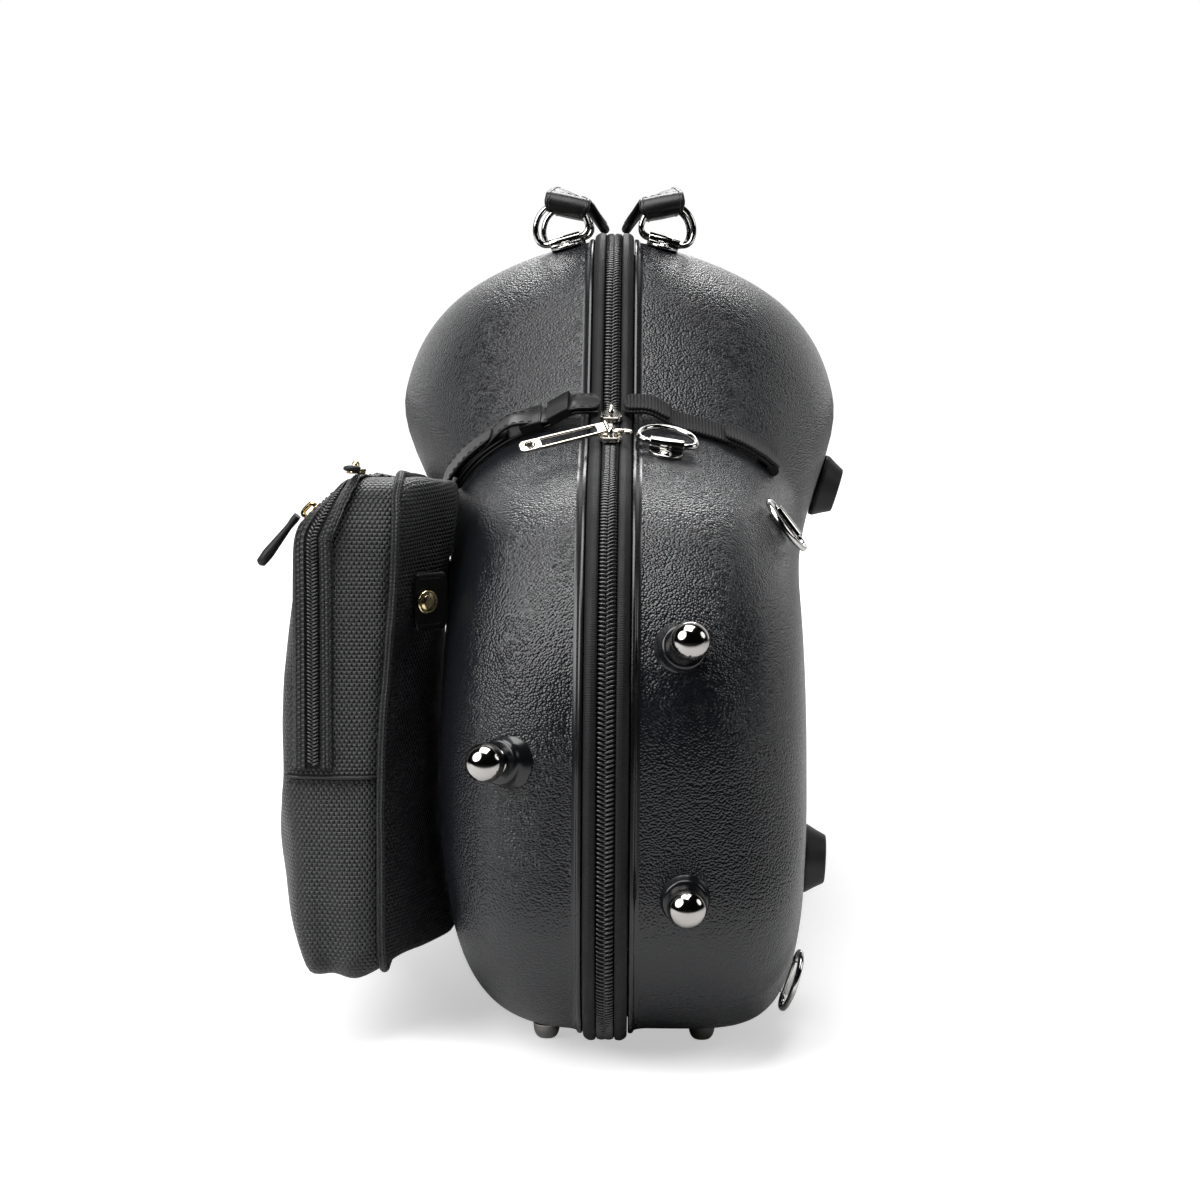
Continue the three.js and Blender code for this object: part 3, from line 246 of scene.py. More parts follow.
def tube(path, radius, sides=10, closed=False, up=(.13, .21, .97), squash=1.0):
    """A round bar along a path; the radius may vary along it."""
    p = np.asarray(path, float)
    t = np.roll(p, -1, 0) - np.roll(p, 1, 0) if closed else np.gradient(p, axis=0)
    t = unit(t)
    n = unit(np.cross(np.cross(t, np.broadcast_to(arr(*up), t.shape)), t))
    b = np.cross(t, n)
    a = circle(sides)[None, :, None]
    r = np.broadcast_to(np.asarray(radius, float), (len(p),))[:, None, None]
    ring = p[:, None] + r * (np.cos(a) * b[:, None] + squash * np.sin(a) * n[:, None])
    return grid(ring, wrap_u=closed, wrap_v=True, caps=not closed)


def sweep(path, across, up, profile):
    """A closed profile of (across, up) pairs along a path; returns the shape and its UV in millimetres."""
    p, prof = np.asarray(path, float), arr(*profile)
    pts = p[:, None] + prof[None, :, :1] * across[:, None] + prof[None, :, 1:] * up[:, None]
    return grid(pts, wrap_v=True, caps=True), uv_rows(lengths(p), lengths(prof))


def flat_shape(outlines, thickness, bevel=.25, bottom=0.0):
    """A plate in XZ with rounded edges, from an outline and its holes; Y is its thickness."""
    curve = bpy.data.curves.new("flat", "CURVE")
    curve.dimensions, curve.fill_mode = "2D", "BOTH"
    curve.extrude, curve.bevel_depth, curve.bevel_resolution = thickness / 2 - bevel, bevel, 2
    curve.offset = -bevel
    for line in outlines:
        s = curve.splines.new("POLY")
        s.points.add(len(line) - 1)
        s.points.foreach_set("co", np.c_[arr(*line), np.zeros(len(line)), np.ones(len(line))].ravel())
        s.use_cyclic_u = True
    o = bpy.data.objects.new("flat", curve)
    mesh = bpy.data.meshes.new_from_object(o)
    v = read(mesh.vertices, "co")
    faces = [list(p.vertices) for p in mesh.polygons]
    bpy.data.objects.remove(o)
    bpy.data.curves.remove(curve)
    bpy.data.meshes.remove(mesh)
    return np.c_[v[:, 0], v[:, 2] + thickness / 2 + bottom, -v[:, 1]], faces


def stitches(path, up, length=2.4, gap=1.3, radius=.28):
    """A row of thread stitches that lie on a surface along a path."""
    s = lengths(path)
    v, f, n = [], [], 0
    for start in np.arange(gap, s[-1] - length, length + gap):
        t = np.linspace(start, start + length, 5)
        line = sample(path, s, t) + sample(up, s, t) * arr(-.25, .1, .16, .1, -.25)[:, None]
        a, b = tube(line, radius, 6)
        v.append(a)
        f += [[k + n for k in q] for q in b]
        n += len(a)
    return (np.vstack(v), f) if v else (np.zeros((0, 3)), [])


# ---------------------------------------------------------------- materials
class Look:
    """A material and short calls that build its nodes."""

    def __init__(self, name, color, rough, metal=0.0, spec=.5, sheen=0.0):
        self.mat = bpy.data.materials.new(name)
        self.mat.use_nodes = True
        self.t = self.mat.node_tree
        self.b = self.t.nodes["Principled BSDF"]
        for key, value in (("Base Color", (*color, 1)), ("Roughness", rough), ("Metallic", metal),
                           ("Specular IOR Level", spec), ("Sheen Weight", sheen), ("Sheen Roughness", .4)):
            self.b.inputs[key].default_value = value
        self.color = color
        self.last_bump = None

    def feed(self, socket, value):
        """Links a node's output to a socket, or sets the socket's value."""
        if hasattr(value, "is_output"):
            self.t.links.new(value, socket)
        else:
            socket.default_value = value

    def node(self, kind, **given):
        n = self.t.nodes.new("ShaderNode" + kind)
        for k, v in given.items():
            if k in n.inputs:
                self.feed(n.inputs[k], v)
            else:
                setattr(n, k, v)
        return n

    def m(self, op, *values):
        n = self.node("Math", operation=op)
        for k, v in enumerate(values):
            self.feed(n.inputs[k], v)
        return n.outputs[0]

    def space(self, uv=False):
        return self.node("TexCoord").outputs["UV" if uv else "Object"]

    def noise(self, mm, detail=2.0, rough=.5):
        return self.node("TexNoise", Vector=self.space(), Scale=1000 / mm, Detail=detail,
                         Roughness=rough).outputs[0]

    def cells(self, mm, feature="F1"):
        return self.node("TexVoronoi", feature=feature, Vector=self.space(), Scale=1000 / mm).outputs[0]

    def ramp(self, value, a, b, lo=0.0, hi=1.0):
        n = self.node("MapRange", interpolation_type="SMOOTHSTEP")
        for k, v in (("Value", value), ("From Min", a), ("From Max", b), ("To Min", lo), ("To Max", hi)):
            self.feed(n.inputs[k], v)
        return n.outputs[0]

    def bump(self, height, mm, strength=1.0):
        n = self.node("Bump", Height=height, Distance=mm / 1000, Strength=strength)
        if self.last_bump:
            self.t.links.new(self.last_bump.outputs[0], n.inputs["Normal"])
        self.t.links.new(n.outputs[0], self.b.inputs["Normal"])
        self.last_bump = n
        return self

    def tint(self, factor, other):
        """The colour moves towards another one by a factor."""
        n = self.node("Mix", data_type="RGBA")
        n.inputs[6].default_value, n.inputs[7].default_value = (*self.color, 1), (*other, 1)
        self.t.links.new(factor, n.inputs[0])
        self.t.links.new(n.outputs[2], self.b.inputs["Base Color"])
        return self

    def gloss(self, factor, lo, hi):
        self.t.links.new(self.ramp(factor, 0, 1, lo, hi), self.b.inputs["Roughness"])
        return self

    def swell(self, x, power):
        """Round rises, one to each whole number."""
        return self.m("POWER", self.m("ABSOLUTE", self.m("SINE", self.m("MULTIPLY", x, math.pi))), power)

    def weave(self, mm):
        """Yarns laid like bricks in UV, as a height from 0 to 1."""
        xyz = self.node("SeparateXYZ", Vector=self.space(uv=True)).outputs
        u, v = self.m("MULTIPLY", xyz[0], 1000 / mm), self.m("MULTIPLY", xyz[1], 1000 / (mm * .8))
        u = self.m("ADD", u, self.m("MULTIPLY", self.m("FLOOR", v), .5))
        yarn = self.m("MULTIPLY", self.swell(u, .55), self.swell(v, .6))
        strands = self.m("MULTIPLY", self.swell(self.m("MULTIPLY", v, 3.0), 1.0), .18)
        return self.m("MULTIPLY", yarn, self.m("ADD", .82, strands))

    def ribs(self, mm):
        x = self.node("SeparateXYZ", Vector=self.space(uv=True)).outputs[0]
        wave = self.m("SINE", self.m("MULTIPLY", x, math.pi * 1000 / mm))
        return self.m("POWER", self.m("ABSOLUTE", wave), .7)


def make_looks():
    L = {}
    k = L["shell"] = Look("moulded_shell", (.0042, .0048, .0062), .25, spec=.5)
    pebble = k.m("SUBTRACT", 1.0, k.cells(1.05, "F1"))
    k.bump(k.m("MULTIPLY", pebble, k.ramp(k.noise(5, 1), .3, .7, .8, 1)), .42, 1)
    k.tint(k.noise(160, 3), (.0055, .0064, .0082)).gloss(k.noise(90, 2), .22, .29)
    k = L["lip"] = Look("smooth_lip", (.0045, .005, .006), .24)
    k.bump(k.noise(3, 2), .02, .4).gloss(k.noise(25, 3), .19, .33).tint(k.noise(60), (.008, .008, .009))
    k = L["boss"] = Look("glossy_boss", (.004, .0045, .0055), .2)
    k.bump(k.noise(1.2, 2), .03, .5).gloss(k.noise(8, 2), .16, .28)
    k = L["welt"] = Look("welt_rubber", (.0035, .0035, .004), .55, spec=.25)
    k.bump(k.ribs(1.0), .12, .8).bump(k.noise(.7, 3), .04, .6)
    k.tint(k.noise(22, 3), (.006, .006, .007)).gloss(k.noise(12, 2), .5, .66)
    k = L["rubber"] = Look("matte_rubber", (.005, .005, .0055), .55, spec=.35)
    k.bump(k.noise(.9, 3, .6), .06, .6).tint(k.noise(14, 3), (.009, .009, .0095))
    k.gloss(k.noise(9, 2), .46, .62)
    k = L["coil"] = Look("zip_coil", (.014, .014, .015), .22, spec=.7)
    k.bump(k.noise(.6, 2), .02, .4).gloss(k.noise(6, 2), .17, .28).tint(k.noise(9, 2), (.022, .022, .024))
    k = L["tape"] = Look("woven_tape", (.005, .005, .006), .8, spec=.25, sheen=.03)
    k.bump(k.ribs(.7), .12, .8).bump(k.noise(.4, 2), .03, .6).tint(k.noise(7, 3), (.009, .009, .010))
    k = L["webbing"] = Look("grosgrain", (.004, .004, .0045), .6, spec=.3, sheen=.03)
    # The colour follows the rib height: a painted highlight on the rib crests and painted shade in the
    # grooves between them.
    k.bump(k.ribs(1.5), .35, 1).bump(k.noise(.35, 2), .04, .7).tint(k.ribs(1.5), (.010, .010, .0115))
    k = L["nylon"] = Look("ballistic_nylon", (.0018, .0018, .002), .42, spec=.5, sheen=.02)
    w = k.weave(2.1)
    # The colour follows the weave's height: a painted highlight on the yarn tops and painted shade in the
    # gaps between the yarns.
    k.bump(w, .7, 1).tint(w, (.0125, .013, .0145)).gloss(k.noise(30, 2), .34, .46)
    k = L["piping"] = Look("piping_cloth", (.0018, .0018, .002), .45, spec=.5, sheen=.02)
    w = k.weave(1.7)
    # The colour follows the weave's height: a painted highlight on the yarn tops and painted shade in the
    # gaps between the yarns.
    k.bump(w, .4, 1).tint(w, (.019, .0195, .0215))
    k = L["lining"] = Look("lining_cloth", (.012, .012, .014), .7, spec=.3, sheen=.1)
    k.bump(k.weave(.8), .06, .6).bump(k.noise(14, 2), .3, .35).tint(k.noise(40, 2), (.020, .020, .023))
    k = L["plush"] = Look("plush_foam", (.016, .016, .020), .9, spec=.2, sheen=.4)
    k.bump(k.noise(.8, 4, .7), .35, .8).bump(k.noise(9, 2), .5, .35)
    k.tint(k.noise(18, 3, .6), (.030, .030, .036))
    k = L["leather"] = Look("black_leather", (.0038, .0036, .0035), .36, spec=.32)
    k.bump(k.cells(.85, "SMOOTH_F1"), .06, .6).bump(k.noise(5, 3), .12, .35)
    k.tint(k.noise(12, 3), (.006, .0058, .0056)).gloss(k.noise(7, 3), .28, .46)
    k = L["edge"] = Look("painted_edge", (.004, .004, .004), .5)
    k.bump(k.noise(.8, 3), .06, .6).tint(k.noise(5, 2), (.008, .008, .008))
    k = L["thread"] = Look("black_thread", (.009, .009, .0095), .6, spec=.35, sheen=.1)
    k.bump(k.noise(.3, 2), .03, .7).tint(k.noise(3, 2), (.016, .016, .017))
    metals = (("chrome", (.63, .62, .60), .05, .13), ("dark_metal", (.42, .405, .39), .05, .14),
              ("nickel", (.70, .665, .60), .09, .2), ("gold", (.76, .62, .36), .10, .24))
    for name, color, lo, hi in metals:
        k = L[name] = Look(name + "_plating", color, lo, metal=1)
        k.gloss(k.noise(5, 4, .6), lo, hi).tint(k.noise(11, 3), tuple(c * .86 for c in color))
        k.bump(k.noise(4, 2), .006, .25)
    return L


MAT = {k: v.mat for k, v in make_looks().items()}


# ---------------------------------------------------------------- seam outline
NEAR_Y, LENGTH, BOTTOM_Z = 4.5, 786, 6.5
CORNERS = arr((4.5, 6.5, 74), (4.5, 218, 117), (170, 258, 22), (243, 334.5, 90), (452, 330.5, 120),
              (560, 238, 90), (790.5, 196, 45), (790.5, 6.5, 42))


def outline(arc=math.pi / 72, line=9.0):
    """Points of the seam with their outward normals, from its corners' Y, Z and radius."""
    spans, n = [], len(CORNERS)
    for i in range(n):
        at, before, after = CORNERS[i, :2], CORNERS[i - 1, :2], CORNERS[(i + 1) % n, :2]
        back, ahead = unit(before - at), unit(after - at)
        turn = math.pi - math.acos(float(back @ ahead))
        bulge = 1 if back[0] * ahead[1] - back[1] * ahead[0] > 0 else -1
        spans.append((at, back, ahead, turn, bulge, CORNERS[i, 2] * math.tan(turn / 2), CORNERS[i, 2]))
    edge = []
    for i, (at, back, ahead, turn, bulge, reach, radius) in enumerate(spans):
        n_in = arr(back[1], -back[0])
        centre = at + back * reach - n_in * bulge * radius
        steps = math.ceil(turn / arc)
        for k in range(steps + 1):
            a = -bulge * turn * k / steps
            c, s = math.cos(a), math.sin(a)
            nk = arr(n_in[0] * c - n_in[1] * s, n_in[0] * s + n_in[1] * c)
            edge.append([*(centre + nk * bulge * radius), *nk])
        nat, nback, _, _, _, nreach, _ = spans[(i + 1) % n]
        start, stop = at + ahead * reach, nat + nback * nreach
        cuts = math.ceil(np.linalg.norm(stop - start) / line)
        for k in range(1, cuts):
            edge.append([*mix(start, stop, k / cuts), *edge[-1][2:]])
    return arr(*edge)


EDGE = outline()
BELL_Y, BELL_LENGTH = 330, 150
WALL, LIP_X, SKIN_X = 2.6, 9.5, 17
UPPER = .7  # the share of a shell's rings where their even spacing begins


def bell(y):
    """1 at the bell, less along the case."""
    return np.exp(-((y - BELL_Y) / BELL_LENGTH) ** 2)


def depth(side, y, z):
    """How far the shell's side lies from the seam."""
    bow, neck, swell = (84, 66, 27.5) if side == BASE else (70.5, 56, 36)
    level = mix(.18, 1, smooth(z, 180, 262))
    return mix(bow, neck, smooth(y, 430, 690)) + swell * level * bell(y)


def section(side, edge):
    """The power and the flat shoulder of the shell's section, by place on the seam."""
    full, raised = bell(edge[:, 0]), smooth(edge[:, 1], 30, 170)
    power = mix(4.9 if side == BASE else 3.7, mix(3.6, 5.4, full), raised)
    shoulder = mix(0 if side == BASE else .004, mix(.004, .1, full), raised)
    return power, shoulder


def spine(y):
    """The middle of the shell's side, for a place on the seam."""
    s = (y - NEAR_Y) / LENGTH
    at = mix(118, 700, s)
    return at, mix(120, 95, s) + 45 * np.exp(-((at - 330) / 170) ** 2)


def shell_rings(side, edge, inset, start, first=40, last=12):
    """Rings of points from the edge towards the spine; shares cluster where the section turns."""
    power, shoulder = section(side, edge)
    sy, sz = spine(edge[:, 0])
    reach0 = (1 - (1 - shoulder) ** power) ** (1 / power)
    t0 = np.arccos((1 - shoulder) ** (power / 2))
    t1 = np.arccos(((1 - UPPER) * (1 - shoulder)) ** (power / 2))
    rings = []
    for k in range(1, first + last + 1):
        if k <= first:
            t = 1 - np.cos(mix(t0, t1, (k / first) ** 1.35)) ** (2 / power)
            share = (t - shoulder) / (1 - shoulder)
        else:
            share = np.full(len(edge), mix(UPPER, 1, (k - first) / last))
            t = mix(shoulder, 1, share)
        arc = ((1 - (1 - t) ** power) ** (1 / power) - reach0) / (1 - reach0)
        y = mix(edge[:, 0] - inset * edge[:, 2], sy, share)
        z = mix(edge[:, 1] - inset * edge[:, 3], sz, share)
        rings.append(np.stack([side * mix(start, depth(side, y, z) - inset, arc), y, z], 1))
    return np.array(rings)


def seam_ring(side, edge, across, out):
    x = np.full(len(edge), side * across)
    return np.stack([x, edge[:, 0] + out * edge[:, 2], edge[:, 1] + out * edge[:, 3]], 1)


LIP_PROFILE = [(LIP_X, -WALL), (9.5, 1.5), (9.65, 1.95), (10.1, 2.2), (10.8, 2.2), (11.4, 1.95), (11.75, 1.5),
               (11.95, 1.0), (12.5, .62), (13.6, .36), (15.2, .12), (SKIN_X, 0)]


def make_shell(side, name):
    """The shell's inner side, its smooth lip and its pebbled outer side; returns a tree for ray casts."""
    inner = shell_rings(side, EDGE, WALL, LIP_X, first=12, last=4)[::-1]
    lip = np.array([seam_ring(side, EDGE, a, o) for a, o in LIP_PROFILE])
    outer = shell_rings(side, EDGE, 0, SKIN_X)
    verts, faces = grid(np.concatenate([inner, lip, outer]), wrap_v=True)
    shape = Piece(name + "_shell_skin", name + "_shell", "shell lip", "shell", 50)
    shape.add((verts, faces))
    # The faces of the lip, up to its tenth ring, have its own material
    first, last = (len(inner) - 1) * len(EDGE), (len(inner) + 9) * len(EDGE)
    shape.m = [1 if first <= k < last else 0 for k in range(len(faces))]
    shape.put()
    return BVHTree.FromPolygons([Vector(v) for v in verts.tolist()], faces)


shells = {side: make_shell(side, name) for side, name in SIDES}


def cast(side, start, towards):
    """The first point of a shell's skin on a ray, or None."""
    hit = shells[side].ray_cast(Vector(start), Vector(towards))[0]
    return None if hit is None else np.array(hit)


# ---------------------------------------------------------------- liners
def make_liner(side, name):
    edge = outline(math.pi / 24, 16)
    out, inside = 4.8, 13.8
    outer = shell_rings(side, edge, out, LIP_X, first=12, last=4)
    inner = shell_rings(side, edge, inside, LIP_X, first=22, last=7)
    rim = [seam_ring(side, edge, 1.6 + 3.2 * (1 - math.sin(t)), -mix(out, inside, .5 - .5 * math.cos(t)))
           for t in np.linspace(0, math.pi, 9)]
    swell = np.sin(inner[..., 1] / 17) * np.cos(inner[..., 2] / 13 + inner[..., 1] / 40)
    inner[..., 0] -= side * .5 * (swell + 1)
    rings = np.concatenate([outer[::-1], np.array([seam_ring(side, edge, 8.5, -out)]), np.array(rim), inner])
    shape = Piece(name + "_plush", name + "_liner", "plush", "foam", 60)
    o = shape.add(grid(rings, wrap_v=True)).put()
    line = Piece(name + "_plush_seam", name + "_liner", "piping", "foam")
    cord = seam_ring(side, edge, 2.4, -12.2)
    line.add(tube(cord, 1.2, 8, closed=True, up=(1, 0, 0))).put(stands=False)


# ---------------------------------------------------------------- welts, zip and hinge
def round_seam(side, profile):
    """A profile of (across, out) pairs round the whole seam, with its UV."""
    e = np.vstack([EDGE, EDGE[:1]])
    rings = np.array([[[side * a, p[0] + o * p[2], p[1] + o * p[3]] for a, o in profile] for p in e])
    return grid(rings), uv_rows(lengths(e[:, :2]), lengths(arr(*profile)))


WELT_PROFILE = rounded([(3.95, -1.5), (3.95, 4.5), (4.7, 5.05), (6.6, 5.2), (8.3, 4.3), (9.15, 3.2),
                        (9.2, -1.5)], .6)
COIL_PROFILE = [(.2, 1.6), (.2, 2.2), (1.2, 2.7), (2.8, 2.7), (3.9, 2.3), (3.9, 1.6)]
LEAF_PROFILE = rounded([(2, 1.6), (.15, 1.6), (.15, 4.3), (3.65, 4.3), (3.65, 1.6), (2, 1.6)], .5, 4)[:-1]
HINGE_START, HINGE_END = 122.5, 672.5
PITCH = 1.91
TOOTH = arr((3.6, .62, 2.2), (3.62, .58, 3.3), (3.05, .42, 4.15), (1.9, .1, 4.5), (.75, -.3, 4.45),
            (-.15, -.62, 4.15), (-.5, -.74, 3.3))


def zip_path():
    """The zip's way from the bottom of the bow end over the top to the bottom of the neck end."""
    start = np.argmax((EDGE[:, 3] < -.999) & (EDGE[:, 0] > 300))
    e = np.roll(EDGE, -start, 0)
    e = e[(e[:, 3] > -.9999) | (e[:, 0] < HINGE_START - 1) | (e[:, 0] > HINGE_END + 1)]
    gap = np.argmax(np.linalg.norm(np.diff(e[:, :2], axis=0), axis=1))
    if np.linalg.norm(e[gap, :2] - e[gap + 1, :2]) > 300:
        e = np.roll(e, -gap - 1, 0)
    if e[0, 0] > e[-1, 0]:
        e = e[::-1]
    return np.vstack([[HINGE_START, BOTTOM_Z, 0, -1], e, [HINGE_END, BOTTOM_Z, 0, -1]])


def along(path, s):
    """Points and outward normals at distances along the zip's path."""
    p = sample(path, lengths(path[:, :2]), s)
    zero = np.zeros(len(p))
    return np.c_[zero, p[:, :2]], np.c_[zero, unit(p[:, 2:])]


def teeth(points, tangent, across, up, shape=TOOTH, radius=.44):
    """One coil tooth at each point, all as one mesh."""
    base, quads = tube(shape, radius, 6, up=(0, 1, .2))
    pts = (points[:, None] + base[None, :, :1] * across[:, None] + base[None, :, 1:2] * tangent[:, None]
           + base[None, :, 2:] * up[:, None])
    count = len(base)
    faces = [[k + i * count for k in q] for i in range(len(points)) for q in quads]
    return pts.reshape(-1, 3), faces


def make_seam(side, name):
    welt = Piece(name + "_welt_band", name + "_welt", "welt", "rubber", 40)
    welt.add(*round_seam(side, WELT_PROFILE)).put(recalc=False)
    path = zip_path()
    total = lengths(path[:, :2])[-1]
    points, up = along(path, np.arange(2.5, total - 2.5, PITCH) + (0 if side == BASE else PITCH / 2))
    chain = Piece(name + "_zip_chain", name + "_zip_coil", "coil tape", "coil", 60)
    tangent, across = unit(np.gradient(points, axis=0)), np.tile(arr(side, 0, 0), (len(points), 1))
    chain.add(teeth(points, tangent, across, up))
    points, up = along(path, np.linspace(0, total, 620))
    chain.add(*sweep(points, np.tile(arr(side, 0, 0), (620, 1)), up, COIL_PROFILE), mat=1)
    chain.put(recalc=False)
    cuts = 90
    line = np.c_[np.zeros(cuts), np.linspace(HINGE_START + 4, HINGE_END - 4, cuts), np.full(cuts, BOTTOM_Z)]
    down = np.tile(arr(0, 0, -1), (cuts, 1))
    hinge = Piece(name + "_hinge_strip", name + "_hinge_leaf", "webbing thread", "webbing", 50)
    hinge.add(*sweep(line, np.tile(arr(side, 0, 0), (cuts, 1)), down, LEAF_PROFILE))
    hinge.add(stitches(line + arr(side * 2.9, 0, -4.35), down), mat=1)
    hinge.put()


for side, name in SIDES:
    make_liner(side, name)
    make_seam(side, name)


# ---------------------------------------------------------------- pads and feet
# The tables of places give a piece's place and then its own X, Y and Z axes
PADS = {
    "back_pad_dome": ((114.6167, -90.4547, 217.8593), (.282, 0, .9594), (.9584, -.0446, -.2818),
                      (.0428, .999, -.0126)),
    "back_pad_bow": ((99.9784, -270.4365, 69.9877), (.0344, 0, .9994), (.9993, -.0115, -.0344),
                     (.0115, .9999, -.0004)),
    "back_pad_middle": ((101.5921, 64.5913, 91.9987), (.0041, 0, 1), (.9971, .0764, -.004),
                        (-.0764, .9971, .0003)),
    "back_pad_neck": ((82.0337, 331.5752, 95.0003), (-.0006, 0, 1), (.9999, .0141, .0006),
                      (-.0141, .9999, 0)),
}
PAD_PROFILE = rounded([(.01, 0), (14.95, 0), (15, 2.1), (12.6, 6.2), (10.4, 10.5), (8.2, 10.5), (7.4, 9.9),
                       (.01, 9.9)], .9, 6)
for name, place in PADS.items():
    hardware(name + "_rubber", name, "rubber", [lathe(PAD_PROFILE, 56)], *place, sharp=50)

FEET = {
    "end_foot_upper": ((46.7502, -376.4393, 177.7013), (-.9574, -.2888, 0), (.2653, -.8793, .3956),
                       (-.1143, .3788, .9184)),
    "end_foot_lower": ((47.8732, -388.8061, 75.6705), (-.9981, -.0615, 0), (.0613, -.9952, -.0766),
                       (.0047, -.0765, .9971)),
    "end_foot_lid": ((-27.9631, -383.2505, 131.3191), (-.8, .6, 0), (-.5983, -.7978, .0742),
                     (.0445, .0594, .9972)),
}
BOSS_PROFILE = [(.01, -7), (12.2, -7), (11.2, -5.4), (10.2, -4.2), (9.7, -3.2), (9.45, -1.9), (9.2, -1.0),
                (8.6, -.45), (7.8, -.3), (.01, -.3)]


def ball_profile():
    """A ball on a flange, with the ball cut where its neck meets the flange."""
    radius, neck = 8, 5
    centre, start = 1.2 + math.sqrt(radius ** 2 - neck ** 2), math.asin(neck / radius)
    ball = [(max(radius * math.sin(t), .01), centre - radius * math.cos(t))
            for t in np.linspace(start, math.pi, 30)]
    return [(.01, 0), (5.3, 0), (5.35, .5), (5.0, .9), (4.85, 1.05)] + ball


for name, place in FEET.items():
    hardware(name + "_ball", name, "dark_metal", [lathe(ball_profile(), 56)], *place, sharp=60)
    boss = Piece(name + "_boss", name, "boss", "shell", 60)
    boss.add(placed(lathe(BOSS_PROFILE, 56), *place)).put(stands=False)

for x, side_name in ((41, "base"), (-25, "lid")):
    for y, end in ((78, "near"), (655, "far")):
        node = f"bottom_foot_{side_name}_{end}"
        lo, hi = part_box(node)
        h = hi.z * 1000
        profile = [(.01, h), (5.6, h), (5.75, h - .5), (5.6, h - 1)]
        profile += [(mix(2.6, 5.6, math.cos(t)), (h - 1) * (1 - math.sin(t)))
                    for t in np.linspace(0, math.pi / 2, 14)[1:]] + [(.01, 0)]
        shape = Piece(node + "_dome", node, "dark_metal", "dark_metal", 60)
        v, f = lathe(profile, 40)
        shape.add((v[:, [0, 2, 1]] + arr(x, y, 0), f)).put()


# ---------------------------------------------------------------- rings in riveted plates
RING_RADIUS, WIRE, CORNER = 12.5, 1.35, 4.7


def ring_points():
    """The middle of a D ring's wire: its straight bar lies along X, and its bow hangs down in Z."""
    bar, turn = RING_RADIUS - CORNER, np.linspace(0, math.pi / 2, 10)
    pts = [(-bar, 0), (bar, 0)]
    pts += [(bar + CORNER * math.sin(t), CORNER - CORNER * math.cos(t)) for t in turn[1:]]
    pts += [(RING_RADIUS * math.cos(t), 5.5 + RING_RADIUS * math.sin(t)) for t in np.linspace(0, math.pi, 40)]
    pts += [(-bar - CORNER * math.cos(t), CORNER - CORNER * math.sin(t)) for t in turn]
    p = arr(*pts)
    p = even(np.vstack([p, p[:1]]), 97)[:-1]
    return np.c_[p[:, 0], np.zeros(len(p)), -p[:, 1]]


def plate_shapes():
    """A sleeve round the ring's bar, a tongue, its root and a rivet."""
    a = circle(40)
    ends = rounded([(-7.5, 1.75), (-7.5, 2.5), (7.5, 2.5), (7.5, 1.75)], .35, 4)
    p = arr(*ends, *[(x, 1.72) for x in np.linspace(7.4, -7.4, 4)])
    pts = np.stack([np.broadcast_to(p[:, :1], (len(p), 40)), 3.4 + p[:, 1:] * np.cos(a),
                    p[:, 1:] * np.sin(a)], -1)
    sleeve = grid(pts, wrap_u=True, wrap_v=True)
    tongue = [(7.5 * np.sign(math.cos(k)) * abs(math.cos(k)) ** .85, -(2 + 8.5 * math.sin(k) ** .85))
              for k in np.linspace(0, math.pi, 30)]
    sheet = flat_shape([[(-7.5, 1.6), (-7.4, 2.1), (7.4, 2.1), (7.5, 1.6)] + tongue], 1.2, .3)
    root = flat_shape([[(-7.3, 2.3), (7.3, 2.3), (7.3, -2.3), (-7.3, -2.3)]], 2.2, .3)
    verts, faces = lathe([(.01, 1), (3.05, 1), (3.05, 1.3), (2.85, 1.5), (2.75, 1.62)]
                         + [(2.75 * math.cos(k), 1.6 + 1.1 * math.sin(k))
                            for k in np.linspace(.1, math.pi / 2 - .01, 9)], 32)
    return [sleeve, sheet, root, (verts + arr(0, 0, 6.6), faces)]


